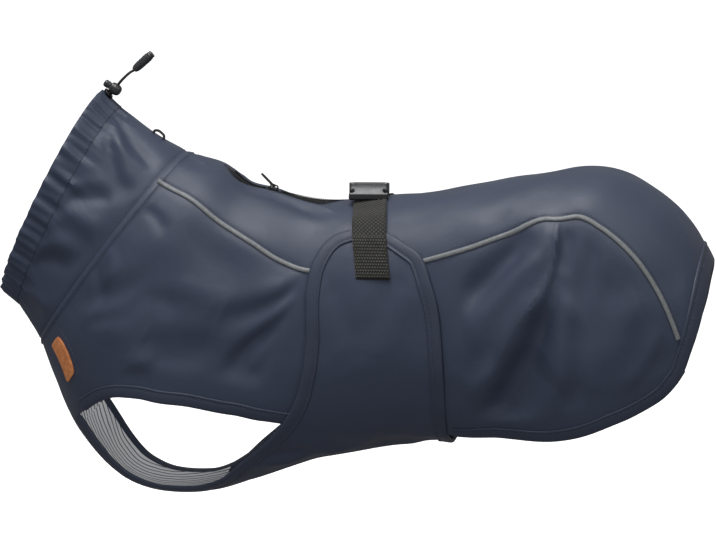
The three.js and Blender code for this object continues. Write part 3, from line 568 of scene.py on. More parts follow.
def waves(tree, coords, pitch, direction, distortion=0.0, detailSize=1.0):
    made = newNode(tree, "ShaderNodeTexWave", {"bands_direction": direction}, Vector=coords,
                   Scale=math.pi / 10 / pitch, Distortion=distortion)
    made.inputs["Detail Scale"].default_value = detailSize
    return made.outputs["Fac"]


def ranged(tree, value, low, high, fromLow=0.0, fromHigh=1.0):
    made = newNode(tree, "ShaderNodeMapRange", Value=value)
    for key, number in (("From Min", fromLow), ("From Max", fromHigh), ("To Min", low), ("To Max", high)):
        made.inputs[key].default_value = number
    return made.outputs["Result"]


def maths(tree, kind, first, second):
    return newNode(tree, "ShaderNodeMath", {"operation": kind}, i0=first, i1=second).outputs[0]


def blendColours(tree, share, first, second):
    made = newNode(tree, "ShaderNodeMix", {"data_type": "RGBA"}, i0=share)
    for place, value in ((6, first), (7, second)):
        if isinstance(value, bpy.types.NodeSocket):
            tree.links.new(value, made.inputs[place])
        else:
            made.inputs[place].default_value = (*value, 1)
    return made.outputs[2]


def newFinish(name, fixed):
    finish = bpy.data.materials.new(name)
    finish.use_nodes = True
    tree = finish.node_tree
    shader = tree.nodes["Principled BSDF"]
    for key, value in fixed.items():
        shader.inputs[key].default_value = value
    coords = tree.nodes.new("ShaderNodeTexCoord")
    return finish, tree, shader, coords


def wire(tree, shader, colour, rough, bumps):
    tree.links.new(colour, shader.inputs["Base Color"])
    if rough is not None:
        tree.links.new(rough, shader.inputs["Roughness"])
    normal = None
    for height, deep in bumps:
        made = newNode(tree, "ShaderNodeBump", Strength=1.0, Distance=deep, Height=height)
        if normal is not None:
            tree.links.new(normal, made.inputs["Normal"])
        normal = made.outputs["Normal"]
    if normal is not None:
        tree.links.new(normal, shader.inputs["Normal"])


# Coated cloth: satin face, faint plain weave under the coating
def coatedCloth(name, dark, light, roughLow, roughHigh):
    finish, tree, shader, coords = newFinish(name, {"Coat Weight": 0.05, "Coat Roughness": 0.4,
                                                    "Specular IOR Level": 0.4})
    where, flat = coords.outputs["Object"], coords.outputs["UV"]
    cloud = noise(tree, where, 16, 3)
    grain = noise(tree, where, 750, 2)
    tone = maths(tree, "ADD", ranged(tree, cloud, 0, 0.75), ranged(tree, grain, 0, 0.35))
    colour = blendColours(tree, tone, dark, light)
    rough = ranged(tree, noise(tree, where, 45, 3), roughLow, roughHigh, 0.3, 0.7)
    weave = maths(tree, "MULTIPLY", waves(tree, flat, 0.00055, "X"), waves(tree, flat, 0.00055, "Y"))
    wire(tree, shader, colour, rough, [(noise(tree, where, 160, 3), 0.00018), (weave, 0.00003),
                                       (noise(tree, where, 1400, 1), 0.00002)])
    return finish


# Lining: white with narrow navy lengthwise stripes
def stripedLining(name, white, stripe):
    finish, tree, shader, coords = newFinish(name, {"Roughness": 0.85})
    where, flat = coords.outputs["Object"], coords.outputs["UV"]
    band = waves(tree, flat, 0.0044, "Y", 4.0, 0.55)
    share = ranged(tree, band, 0, 1, 0.06, 0.22)
    grain = ranged(tree, noise(tree, where, 900, 2), 0.82, 1.0, 0.3, 0.7)
    colour = blendColours(tree, share, stripe, white)
    shaded = blendColours(tree, grain, tuple(v * 0.7 for v in white), colour)
    wire(tree, shader, shaded, None, [(band, 0.00022), (noise(tree, where, 500, 2), 0.0001)])
    return finish


def simpleFinish(name, dark, light, grainSize, bump, fixed, roughness):
    finish, tree, shader, coords = newFinish(name, fixed)
    where = coords.outputs["Object"]
    grain = noise(tree, where, grainSize, 3)
    colour = blendColours(tree, ranged(tree, grain, 0, 1, 0.32, 0.68), dark, light)
    rough = ranged(tree, noise(tree, where, grainSize * 0.4, 2), roughness[0], roughness[1], 0.3, 0.7)
    wire(tree, shader, colour, rough, [(noise(tree, where, grainSize * 1.7, 2), bump)])
    return finish


navyCloth = coatedCloth("navyCoatedCloth", (0.026, 0.034, 0.060), (0.042, 0.054, 0.092), 0.42, 0.56)
navyTape = coatedCloth("navyEdgeTape", (0.023, 0.030, 0.052), (0.037, 0.047, 0.079), 0.45, 0.58)
lining = stripedLining("stripedLining", (0.95, 0.96, 0.98), (0.030, 0.038, 0.070))
pipingFinish = simpleFinish("reflectivePiping", (0.13, 0.137, 0.145), (0.20, 0.21, 0.215), 700, 0.00006,
                            {"Metallic": 0.1}, (0.4, 0.55))
zipCloth = simpleFinish("blackZipTape", (0.006, 0.006, 0.007), (0.016, 0.016, 0.017), 1300, 0.0001, {},
                        (0.75, 0.9))
plasticFinish = simpleFinish("blackPlastic", (0.022, 0.023, 0.025), (0.036, 0.037, 0.040), 420, 0.00002,
                             {"Specular IOR Level": 0.6}, (0.22, 0.34))


# Buckle: satin faces, with painted shade in its slots, windows and under its lip, where the colour goes near
# black, the faces turn dull and the specular drops
def buckleNylon():
    finish, tree, shader, coords = newFinish("buckleNylon", {})
    where = coords.outputs["Object"]
    # The attribute carries the painted shade: 1 on lit faces, 0 in the painted shade of the lip and the cuts
    face = newNode(tree, "ShaderNodeAttribute", {"attribute_name": "reliefAndShade"}).outputs["Fac"]
    grain = noise(tree, where, 420, 3)
    mottled = ranged(tree, grain, 0, 1, 0.32, 0.68)
    colour = blendColours(tree, mottled, (0.030, 0.031, 0.034), (0.050, 0.052, 0.056))
    shaded = blendColours(tree, face, (0.006, 0.006, 0.007), colour)
    rough = maths(tree, "SUBTRACT", ranged(tree, noise(tree, where, 160, 2), 0.82, 0.94, 0.3, 0.7),
                  maths(tree, "MULTIPLY", face, 0.56))
    tree.links.new(ranged(tree, face, 0.1, 0.65), shader.inputs["Specular IOR Level"])
    wire(tree, shader, shaded, rough, [(noise(tree, where, 700, 2), 0.00002)])
    return finish


buckleFinish = buckleNylon()
metalFinish = simpleFinish("blackZipMetal", (0.018, 0.018, 0.020), (0.035, 0.035, 0.038), 600, 0.00002,
                           {"Metallic": 0.7}, (0.3, 0.45))
cordFinish = simpleFinish("blackCord", (0.010, 0.010, 0.011), (0.034, 0.034, 0.036), 1100, 0.00008, {},
                          (0.6, 0.8))
leatherFinish = simpleFinish("tanLeather", (0.47, 0.155, 0.052), (0.66, 0.25, 0.088), 320, 0.00012, {},
                             (0.45, 0.65))
threadFinish = simpleFinish("navyThread", (0.030, 0.037, 0.060), (0.066, 0.080, 0.120), 1500, 0.00005, {},
                            (0.6, 0.75))
labelThread = simpleFinish("tanThread", (0.30, 0.13, 0.06), (0.45, 0.22, 0.11), 1500, 0.00004, {},
                           (0.6, 0.75))


# Webbing: painted shade in the hollows of its weave, along its edges and at its sewn end, lighter on its
# ribs, with a random speck
def wovenWeb():
    finish, tree, shader, coords = newFinish("blackWebbing", {"Sheen Weight": 0.12})
    where = coords.outputs["Object"]
    high = newNode(tree, "ShaderNodeAttribute", {"attribute_name": "reliefAndShade"}).outputs["Fac"]
    speck = noise(tree, where, 1100, 2)
    tone = maths(tree, "MULTIPLY", ranged(tree, high, 0, 1, 0.35, 1.0),
                 ranged(tree, speck, 0.3, 1, 0.35, 0.65))
    colour = blendColours(tree, tone, (0.007, 0.007, 0.006), (0.125, 0.12, 0.09))
    rough = ranged(tree, speck, 0.72, 0.92, 0.3, 0.7)
    wire(tree, shader, colour, rough, [(noise(tree, where, 2200, 1), 0.00012)])
    return finish


strapFinish = wovenWeb()
print("finishes made")


def tunnelHigh(station, angle=None):
    return coat["cloth"] + 0.4 + 1.1 * np.sin(np.pi * np.clip(station, 0, 1))


def flapHeight(station, angle):
    turn = turnOf(angle)
    inside = smooth(turn, 46, 58) * smooth(station - along(flapFront, turn), 0.05, 0.4)
    inside = inside * smooth(along(flapRear, turn) - station, 0.05, 0.4)
    inside = np.where(turn < coat["stripTurn"], inside, smooth(station, 6.1, 6.4))
    loose = creaseHeight(flapCreases, station, angle) * inside
    tuck = coat["sideTuck"] * smooth(turn, 98, 122) + coat["bellyTuck"] * smooth(turn, 142, 160)
    tuck = tuck * smooth(station, 7.0, 8.2)
    return (coat["flapLift"] * smooth(station, 4.2, 6.1) + loose - tuck
            + foldHeight(flapFolds, station, angle) * smooth(station, 6.3, 6.6))


def fineStations(start, end, spacing, extra=()):
    even = spread(start, end, int(round((end - start) / spacing)))
    return np.unique(np.concatenate([even, np.asarray(extra, float)]))


edgeBends = [3.65, 3.78, 3.86, 3.95, 4.01, 4.08, 4.18, 4.3, 10, 10.12, 10.24, 10.39, 10.54]
wingTip = [39.5, 40, 40.7, 41.5, 42.6, 43.8, 45]
around = spread(-180, 180, 324)
rows, columns = np.meshgrid(spread(0, 1 - coat["seamStep"], 14), around, indexing="ij")
clothShell("collarCasing", [(rows, columns)], navyCloth, lining, high=tunnelHigh)
collarRows = spread(1 + coat["seamStep"], 2 - coat["seamStep"], 20)
rows, columns = np.meshgrid(collarRows, around[::2], indexing="ij")
clothShell("collarBody", [(rows, columns)], navyCloth, lining)


def besideSpine(station, aside):
    row = sectionAt(station)
    return np.degrees(np.arcsin(np.clip(aside / row[..., 4], 0, 1) ** (row[..., 5] / 2)))


zipLine = {"start": 2.95, "end": 6.3, "slot": 3.4, "open": 1.6, "edge": 0.8, "tapeReach": 9.5, "slider": 4.3,
           "proud": 1.5}


def slotHalf(station, side):
    t = np.clip((station - zipLine["start"]) / (zipLine["end"] - zipLine["start"]), 0, 1)
    wide = zipLine["slot"] + (zipLine["open"] if side > 0 else 0)
    return zipLine["edge"] + (wide - zipLine["edge"]) * np.sin(np.pi * t) ** 0.6


def tailEdge(angle):
    return 14 - 0.6 * (np.abs(angle) / 94) ** 4


def backPanel():
    panelStations = fineStations(2, coat["rearSeam"] - coat["seamStep"], 0.055, edgeBends[8:])
    lanes = spread(0, 1, 36)
    edge = along(pipingSeam, panelStations) - coat["seamGap"]
    spine = 2 + (panelStations - 2) * 12 / 11.4
    at = panelStations[:, None] + (spine - panelStations)[:, None] * (1 - lanes[None, :] ** 4)
    at = np.minimum(at + np.where(np.arange(len(panelStations)) == 0, coat["seamStep"], 0)[:, None], 14)
    halves = []
    for side in (-1, 1):
        inner = besideSpine(np.clip(at, 2, 14), slotHalf(at, side))
        halves.append(inner + (edge[:, None] - inner) * lanes[None, :])
    station = np.concatenate([at[:, ::-1], at], 1)
    angle = np.concatenate([-halves[0][:, ::-1], halves[1]], 1)
    middle = len(lanes) - 1
    opened = (at[:-1, 0] > zipLine["start"]) & (at[1:, 0] < zipLine["end"])
    slotRows = np.where(opened)[0]
    first, last = slotRows[0], slotRows[-1] + 1
    return [
        (station[:, :middle + 1], angle[:, :middle + 1]),
        (station[:, middle + 1:], angle[:, middle + 1:]),
        (station[:first + 1, middle:middle + 2], angle[:first + 1, middle:middle + 2]),
        (station[last:, middle:middle + 2], angle[last:, middle:middle + 2]),
    ]


clothShell("backPanel", backPanel(), navyCloth, lining)


def sidePanel(side):
    panelStations = fineStations(2, 13.32, 0.055, edgeBends)
    lanes = spread(0, 1, 46)
    top = along(pipingSeam, panelStations) + coat["seamGap"]
    bottom = along(sideEdge, panelStations) - coat["seamGap"]
    angle = top[:, None] + (bottom - top)[:, None] * lanes[None, :]
    station = np.broadcast_to(panelStations[:, None], angle.shape).copy()
    station[0] += coat["seamStep"]
    return [(station, angle * side)]


for side, name in ((1, "sidePanelNear"), (-1, "sidePanelFar")):
    clothShell(name, sidePanel(side), navyCloth, lining)


def bellyFlap():
    before = fineStations(2, coat["legCorner"], 0.06, [3.65, 3.78])[:-1]
    after = fineStations(coat["legCorner"], coat["flapJoin"], 0.06)
    chest = np.concatenate([before, after])
    edge = np.where(chest < coat["legCorner"], along(sideEdge, chest) + coat["seamGap"],
                    along(stripEdge, chest))
    meets = coat["stripTurn"]
    edge[-1] = meets
    lanes = spread(0, 1, 40)
    angle = edge[:, None] + (360 - 2 * edge)[:, None] * lanes[None, :]
    station = np.broadcast_to(chest[:, None], angle.shape).copy()
    station[0] += coat["seamStep"]
    wing = np.concatenate([wingTip, spread(46.5, 146.5, 66), [meets]])
    bandAngles = np.concatenate([wing[:-1], spread(meets, 360 - meets, 40), (360 - wing[:-1])[::-1]])
    steps = spread(0, 1, 34)
    turn = turnOf(bandAngles)
    front = np.where(turn < meets, along(flapFront, np.minimum(turn, meets)), coat["flapJoin"])
    rear = along(flapRear, turn)
    bandStation = front[:, None] + (rear - front)[:, None] * steps[None, :]
    bandAngle = np.broadcast_to(bandAngles[:, None], bandStation.shape).copy()
    return [(station, angle), (bandStation[:, ::-1], bandAngle)]


clothShell("bellyFlap", bellyFlap(), navyCloth, lining, low=0.6, raised=flapHeight)


def chestLining():
    chest = fineStations(coat["legCorner"] + 0.02, 6, 0.05)
    edge = along(stripEdge, chest) + 4.6
    lanes = spread(0, 1, 40)
    angle = edge[:, None] + (360 - 2 * edge)[:, None] * lanes[None, :]
    return [(np.broadcast_to(chest[:, None], angle.shape).copy(), angle)]


clothShell("chestLining", chestLining(), lining, lining, low=-1.1, high=-0.3,
           raised=lambda s, a: flapHeight(s, np.full_like(s, 180.0)))
print("panels made")


# Edge tapes, folded over the edges: distance onto the cloth, height
tape = {"spacing": 2.5, "sharp": 60}
tapeProfile = [
    (8.9, 1.5), (8.75, 2.2), (8.2, 2.55), (7.6, 2.5), (7.1, 2.2), (6.5, 2.15), (5.9, 2.4), (4.2, 2.5),
    (2, 2.5), (0.3, 2.35), (-0.7, 1.9), (-1, 1.1), (-0.8, 0.2), (0, -0.35), (3, -0.45), (7, -0.4), (8, 0.3),
]


def edgeTape(name, station, angle, toCloth, raised=None):
    station, angle = evenLine(np.asarray(station, float), np.asarray(angle, float), tape["spacing"])
    ringBody(name, carried(station, angle, tapeProfile, toCloth, raised), navyTape, tape["sharp"])


legStations = np.concatenate([[3.92, 3.935, 3.95, 3.98, 4.01, 4.04], spread(4.08, 4.3, 10),
                              spread(4.34, 6.8, 66)])
legAngles = along(sideEdge, legStations) - 0.3
hemStations = spread(8.42, 13.37, 162)
hemAngles = along(sideEdge, hemStations)
tailAngles = spread(96.5, -96.5, 160)
wingAngles = np.concatenate([spread(coat["stripTurn"], 46, 80), wingTip[::-1]])
stripStations = spread(coat["legCorner"] + 0.04, 6, 60)
frontStations = np.concatenate([stripStations, along(flapFront, wingAngles)])
frontAngles = np.concatenate([along(stripEdge, stripStations), wingAngles])
rearAngles = np.concatenate([[39.5, 40, 41, 42.5, 44], spread(46, 180, 100)])
rearStations = along(flapRear, rearAngles)
rearStations = np.concatenate([rearStations, rearStations[:-1][::-1]])
rearAngles = np.concatenate([rearAngles, (360 - rearAngles[:-1])[::-1]])

for side, end in ((1, "Near"), (-1, "Far")):
    edgeTape("legTape" + end, legStations, side * legAngles, side)
    edgeTape("hemTape" + end, hemStations, side * hemAngles, side)
    edgeTape("flapTapeFront" + end, frontStations, side * frontAngles, -side, flapHeight)
edgeTape("tailTape", tailEdge(tailAngles) - 0.01, tailAngles, 1)
edgeTape("flapTapeRear", rearStations, rearAngles, -1, flapHeight)

# Reflective piping
pipe = {"radius": 1.75, "flat": 0.75, "base": 1.9, "sides": 14, "spacing": 2.0}


def piping(name, start, end, side):
    station = spread(start, end, 200)
    station, angle = evenLine(station, along(pipingSeam, station), pipe["spacing"])
    wide, high = pipe["radius"], pipe["flat"] * pipe["radius"]
    profile = [(wide * math.cos(t), pipe["base"] + high * math.sin(t)) for t in roundTurns(pipe["sides"])]
    ringBody(name, carried(station, angle * side, profile, side), pipingFinish, sharp=60)

for stem, start, end in (("pipingFront", 2.05, 6.5), ("pipingRear", 8.0, 12.96)):
    piping(stem + "Near", start, end, 1)
    piping(stem + "Far", start, end, -1)
print("tapes and piping made")


# Small parts set along lines on the cloth
def pathTree(name, shape):
    tree = bpy.data.node_groups.new(name, "GeometryNodeTree")
    face = tree.interface
    face.new_socket("Lines", in_out="INPUT", socket_type="NodeSocketGeometry")
    for key in ("Pitch", "Length", "Width", "Height", "Unevenness"):
        face.new_socket(key, in_out="INPUT", socket_type="NodeSocketFloat")
    face.new_socket("Finish", in_out="INPUT", socket_type="NodeSocketMaterial")
    face.new_socket("Result", in_out="OUTPUT", socket_type="NodeSocketGeometry")
    given = tree.nodes.new("NodeGroupInput").outputs
    line = newNode(tree, "GeometryNodeMeshToCurve", Mesh=given["Lines"]).outputs["Curve"]
    spaced = newNode(tree, "GeometryNodeResampleCurve", {"mode": "LENGTH"}, Curve=line, Length=given["Pitch"])
    tangent = tree.nodes.new("GeometryNodeInputTangent").outputs["Tangent"]
    outward = newNode(tree, "GeometryNodeInputNamedAttribute", {"data_type": "FLOAT_VECTOR"}, Name="outward")
    ahead = newNode(tree, "FunctionNodeAlignEulerToVector", {"axis": "X"}, Vector=tangent)
    upright = newNode(tree, "FunctionNodeAlignEulerToVector", {"axis": "Z", "pivot_axis": "X"},
                      Rotation=ahead.outputs["Rotation"], Vector=outward.outputs["Attribute"])
    if shape == "thread":
        part = newNode(tree, "GeometryNodeMeshUVSphere", Segments=8, Rings=5, Radius=0.5).outputs["Mesh"]
    else:
        block = newNode(tree, "GeometryNodeMeshCube", Size=(1, 1, 1)).outputs["Mesh"]
        part = newNode(tree, "GeometryNodeSubdivisionSurface", i0=block, Level=1).outputs["Mesh"]
    size = newNode(tree, "ShaderNodeCombineXYZ", X=given["Length"], Y=given["Width"], Z=given["Height"])
    least = newNode(tree, "ShaderNodeMath", {"operation": "SUBTRACT"}, i0=1.0, i1=given["Unevenness"])
    jitter = newNode(tree, "FunctionNodeRandomValue", {"data_type": "FLOAT"}, i2=least.outputs[0], i3=1.0,
                     Seed=5)
    scaled = newNode(tree, "ShaderNodeVectorMath", {"operation": "SCALE"}, i0=size.outputs["Vector"],
                     Scale=jitter.outputs[1])
    placed = newNode(tree, "GeometryNodeInstanceOnPoints", Points=spaced.outputs["Curve"], Instance=part,
                     Rotation=upright.outputs["Rotation"], Scale=scaled.outputs["Vector"])
    real = newNode(tree, "GeometryNodeRealizeInstances", Geometry=placed.outputs["Instances"])
    soft = newNode(tree, "GeometryNodeSetShadeSmooth", Geometry=real.outputs["Geometry"])
    done = newNode(tree, "GeometryNodeSetMaterial", Geometry=soft.outputs["Geometry"],
                   Material=given["Finish"])
    out = tree.nodes.new("NodeGroupOutput")
    tree.links.new(done.outputs["Geometry"], out.inputs["Result"])
    return tree


threadTree = pathTree("stitchesAlongLines", "thread")
toothTree = pathTree("teethAlongLines", "tooth")


def plainMesh(holder, name):
    graph = bpy.context.evaluated_depsgraph_get()
    mesh = bpy.data.meshes.new_from_object(holder.evaluated_get(graph))
    bpy.data.objects.remove(holder)
    mesh.name = name
    pieces[name] = link(name, mesh)
    return pieces[name]


def setAlong(name, tree, lines, sizes, finish):
    points, outs, edges = [], [], []
    for line, out in lines:
        first = sum(len(p) for p in points)
        points.append(line)
        outs.append(out)
        edges += [(first + k, first + k + 1) for k in range(len(line) - 1)]
    mesh = bpy.data.meshes.new(name + "Lines")
    mesh.from_pydata((np.concatenate(points) * 0.001).tolist(), edges, [])
    outward = mesh.attributes.new("outward", "FLOAT_VECTOR", "POINT")
    outward.data.foreach_set("vector", np.concatenate(outs).astype(np.float32).ravel())
    holder = link(name + "Lines", mesh)
    modifier = holder.modifiers.new("setAlong", "NODES")
    modifier.node_group = tree
    given = {item.name: item.identifier for item in tree.interface.items_tree if item.in_out == "INPUT"}
    for key, value in sizes.items():
        modifier[given[key]] = value if key == "Unevenness" else value * 0.001
    modifier[given["Finish"]] = finish
    plainMesh(holder, name)


# Points and outward directions of a line of places, moved aside on the cloth
def clothLine(station, angle, height, aside=0.0, raised=None, spacing=1.5):
    station, angle = evenLine(np.asarray(station, float), np.asarray(angle, float), spacing)
    if aside:
        ahead = unit(np.gradient(form(station, angle), axis=0))
        side = unit(np.cross(directions(station, angle)[2], ahead))
        station, angle = stepTo(station, angle, side * aside)
    lift = raised(station, angle) if raised else 0
    return skin(station, angle, height + lift), directions(station, angle)[2]


stitch = {"Pitch": 3.1, "Length": 2.5, "Width": 0.6, "Height": 0.5, "Unevenness": 0.12}
fullTurn = spread(-180, 180, 240)
sideStations = spread(2.05, 6.3, 80)
rearStitchStations = spread(8.4, 13.1, 90)
chestStations = spread(2.1, 3.8, 40)
dartLine = np.array([(10.24, 47), (10.21, 56), (10.13, 68), (9.95, 77), (9.6, 87)])


def tapeStitches(side):
    edge, inset, high = side * 1.0, 6.55, 2.25
    return [
        clothLine(legStations, side * legAngles, high, edge * inset),
        clothLine(hemStations, side * hemAngles, high, edge * inset),
        clothLine(frontStations, side * frontAngles, high, -edge * inset, flapHeight),
    ]


stitchRows = {
    "collarStitches": [clothLine(np.full(241, station), fullTurn, high)
                       for station, high in ((0.982, 1.95), (1.955, 1.5), (2.115, 1.5))],
    "seamStitches": [
        clothLine(sideStations, side * along(pipingSeam, sideStations), 1.45, side * 3.6) for side in (1, -1)
    ] + [
        clothLine(rearStitchStations, side * along(pipingSeam, rearStitchStations), 1.45, side * 3.6)
        for side in (1, -1)
    ] + [
        clothLine(chestStations, side * (along(sideEdge, chestStations) - 2.2), 1.45) for side in (1, -1)
    ] + [
        clothLine(dartLine[:, 0] - 0.06, side * dartLine[:, 1], 1.45) for side in (1, -1)
    ],
    "tapeStitches": tapeStitches(1) + tapeStitches(-1) + [
        clothLine(tailEdge(tailAngles) - 0.01, tailAngles, 2.25, 6.55),
        clothLine(rearStations, rearAngles, 2.25, -6.55, flapHeight),
    ],
}
for name, lines in stitchRows.items():
    setAlong(name, threadTree, lines, stitch, threadFinish)
print("stitches made")


# Woven girth straps, doubled over at their sewn ends
web = {"wide": 25, "thick": 1.4, "start": 11, "end": 67.8, "fine": 0.42, "double": 31, "doubled": 1.0,
       "station": 7.06, "lean": 0.37, "shear": 0.16, "twill": 3.0, "rib": 2.1, "speck": 1.9, "high": 0.34,
       "low": 2.3, "rise": 2.85, "sink": 1.15}


def gridShell(name, low, high, finish, maps=None, values=None, sharp=50):
    rows, columns = low.shape[:2]
    index = np.arange(rows * columns).reshape(rows, columns)
    quads = gridQuads(index)
    ring = np.concatenate([index[0, :-1], index[:-1, -1], index[-1, :0:-1], index[:0:-1, 0]])
    after = np.roll(ring, -1)
    count = rows * columns
    rim = np.stack([after, ring, ring + count, after + count], -1)
    faces = np.concatenate([quads, quads[:, ::-1] + count, rim])
    points = np.concatenate([low.reshape(-1, 3), high.reshape(-1, 3)])
    if flipIfInside(points, faces):
        faces = faces[:, ::-1]
    if maps is not None:
        maps = np.concatenate([maps.reshape(-1, 2)] * 2)[faces].reshape(-1, 2)
    piece = makePiece(name, points, faces, [finish], maps, None, sharp)
    if values is not None:
        stored = piece.data.attributes.new("reliefAndShade", "FLOAT", "POINT")
        stored.data.foreach_set("value", np.tile(values.ravel(), 2).astype(np.float32))


def girthStrap(name, side):
    t = spread(0, 1, 200)
    station, angle = evenLine(web["station"] + web["lean"] * t,
                              web["start"] + (web["end"] - web["start"]) * t, web["fine"])
    points = form(station, angle)
    run = runOf(points)
    ahead = unit(np.gradient(points, axis=0))
    over = unit(np.cross(directions(station, angle)[2], ahead))
    half = web["wide"] / 2
    y, x = np.meshgrid(run, spread(-half, half, 60), indexing="ij")
    s = np.broadcast_to(station[:, None], y.shape)
    a = np.broadcast_to(angle[:, None], y.shape)
    s, a = stepTo(s, a, (over + web["shear"] * ahead)[:, None, :] * x[..., None])
    left = run[-1] - y
    doubled = 1 - smooth(left, web["double"] - 0.8, web["double"] + 0.4)
    turn = 2 * np.pi / web["twill"]
    twill = np.cos(turn * x) * np.cos(turn * 0.95 * y)
    late = np.pi * np.round(y / web["rib"])
    ribs = 0.55 * np.cos(2 * np.pi * y / web["rib"]) + 0.6 * np.cos(2 * np.pi * x / web["speck"] + late)
    reliefAndShade = twill * (1 - doubled) + ribs * doubled
    border = smooth(half - np.abs(x), 0, 0.9) * smooth(left, 0, 1.0)
    rest = web["low"] + web["rise"] * smooth(a, 19, 35) - web["sink"] * smooth(a, 47, 56)
    thick = web["thick"] * (0.55 + 0.45 * border) + web["doubled"] * doubled * (0.3 + 0.7 * border)
    high = rest + thick + web["high"] * reliefAndShade * border
    highPoints, lowPoints = skin(s, a, high), skin(s, a, rest)
    if side < 0:
        highPoints, lowPoints = highPoints * (1, -1, 1), lowPoints * (1, -1, 1)
    maps = np.stack([y, x], -1) * 0.001
    # Painted shade: darker in the weave's hollows, lighter on its ribs, dark along both edges and over the
    # last 2 mm at the sewn end
    tone = (np.clip(0.5 + 0.6 * reliefAndShade, 0, 1) ** 1.5 * border * smooth(left, 0.6, 2.4)) ** 1.4
    gridShell(name, lowPoints, highPoints, strapFinish, maps, tone)


girthStrap("strapNear", 1)
girthStrap("strapFar", -1)


# Side-release buckle, bent over the back: half width or height by distance from its middle
buckle = {"bend": 60, "foot": 5.6, "fine": 0.45, "round": 0.9, "yaw": 7}
nearHalf = [(0.4, 10.4), (2, 11.6), (5.2, 12.5), (8, 13.3), (10.4, 14.2), (16, 14.4), (18.6, 14.1),
            (20, 12.9)]
farHalf = [(0.1, 13.4), (3, 14.6), (8, 14.8), (14, 14.5), (20, 14.4), (23.5, 12.8)]
nearTop = [(0.4, 6.9), (1.6, 7.4), (3.8, 7.5), (5.2, 7.1), (12.8, 2.5), (13.8, 1.9), (20, 1.7)]
farTop = [(0.1, 6.9), (1, 7.4), (9, 7.5), (11, 7.2), (18.5, 4.0), (19.2, 3.2), (19.8, 2.2), (23.5, 1.8)]


def pit(x, y, wide, long, soft=0.5):
    return (1 - smooth(np.abs(x), wide - soft, wide)) * (1 - smooth(np.abs(y), long - soft, long))


def buckleHalf(name, outline, top, side, marks, lip):
    y = spread(outline[0][0], outline[-1][0], int(outline[-1][0] / buckle["fine"]))
    half = along(outline, y)
    share = np.sin(spread(-1, 1, 64) * np.pi / 2)
    across = half[:, None] * share[None, :]
    ahead = np.broadcast_to(y[:, None], across.shape)
    high = np.broadcast_to(along(top, y)[:, None], across.shape)
    edge = np.minimum.reduce([half[:, None] - np.abs(across), ahead - y[0] + 0.1, y[-1] - ahead + 0.1])
    fall = np.clip(1 - edge / buckle["round"], 0, 1)
    high = high - buckle["round"] * (1 - np.sqrt(1 - np.minimum(fall, 0.98) ** 2))
    cut = marks(across, ahead)
    high = high - cut
    base = np.minimum(0.25 * fall, high - 0.4)

    def bent(height):
        turn = ahead / buckle["bend"]
        reach = buckle["bend"] + height
        x, y = across, side * reach * np.sin(turn)
        yaw = math.radians(buckle["yaw"])
        return np.stack([x * math.cos(yaw) - y * math.sin(yaw), x * math.sin(yaw) + y * math.cos(yaw),
                         reach * np.cos(turn) - buckle["bend"] + buckle["foot"]], -1)

    # Painted shade: the faces go dark from the lip onwards and in every window, prong, groove and slot cut
    # into them; 1 is lit
    paintedLight = np.minimum(1 - 0.9 * smooth(ahead, lip - 0.5, lip + 0.3), 1 - np.clip(cut / 0.7, 0, 1))
    gridShell(name, bent(base), bent(np.maximum(high, 0.6)), buckleFinish, None, paintedLight, 42)


def nearMarks(x, y):
    windows = 2.0 * (1 - smooth(np.hypot((np.abs(x) - 12.5) / 2.4, (y - 10.5) / 1.7), 0.7, 1))
    prongs = 0.4 * pit(np.abs(x) - 9.4, y - 3.6, 0.4, 2.4, 0.3)
    groove = 0.5 * pit(x, y - 13.8, 11.0, 0.4, 0.3)
    return windows + prongs + groove


def farMarks(x, y):
    slots = 2.4 * pit(np.abs(x) - 13.2, y - 7.0, 1.6, 3.6)
    ribs = sum(0.4 * pit(x, y - at, 7.5, 0.4, 0.3) for at in (4.0, 6.0, 8.0))
    return slots + ribs


buckleHalf("buckleNear", nearHalf, nearTop, -1, nearMarks, 13.6)
buckleHalf("buckleFar", farHalf, farTop, 1, farMarks, 19.4)
print("straps and buckle made")


def zipBand(side):
    station = spread(zipLine["start"] - 0.12, zipLine["end"], 92)
    inner = 0.02 + 1.48 * smooth(station, 3.3, 3.42) * (1 - smooth(station, 5.96, 6.06))
    aside = inner[:, None] + (zipLine["tapeReach"] - inner)[:, None] * spread(0, 1, 12)[None, :]
    s = np.broadcast_to(station[:, None], aside.shape).copy()
    return [(s, side * besideSpine(s, aside))]


# The chain and the middle of its tapes stay above the dip beside them
def zipRaised(station, angle):
    inside = 1 - smooth(turnOf(angle), besideSpine(station, 3.4), besideSpine(station, 5.2))
    return (zipDip(station, angle) - zipSag(station) + zipLine["proud"]) * inside


for side, name in ((1, "zipTapeNear"), (-1, "zipTapeFar")):
    clothShell(name, zipBand(side), zipCloth, zipCloth, low=-1.4, high=-0.6, raised=zipRaised)

tooth = {"Pitch": 1.5, "Length": 1.15, "Width": 2.3, "Height": 1.7, "Unevenness": 0.0}


def teethLines(start, end):
    lines = []
    for side, late in ((1, 0.0), (-1, 0.018)):
        station = spread(start + late, end + late, 80)
        aside = side * besideSpine(station, 0.65)
        lines.append(clothLine(station, aside, 0.1, raised=zipRaised, spacing=0.75))
    return lines


setAlong("zipTeethFront", toothTree, teethLines(3.31, 4.11), tooth, metalFinish)
setAlong("zipTeethRear", toothTree, teethLines(4.5, 6.06), tooth, metalFinish)


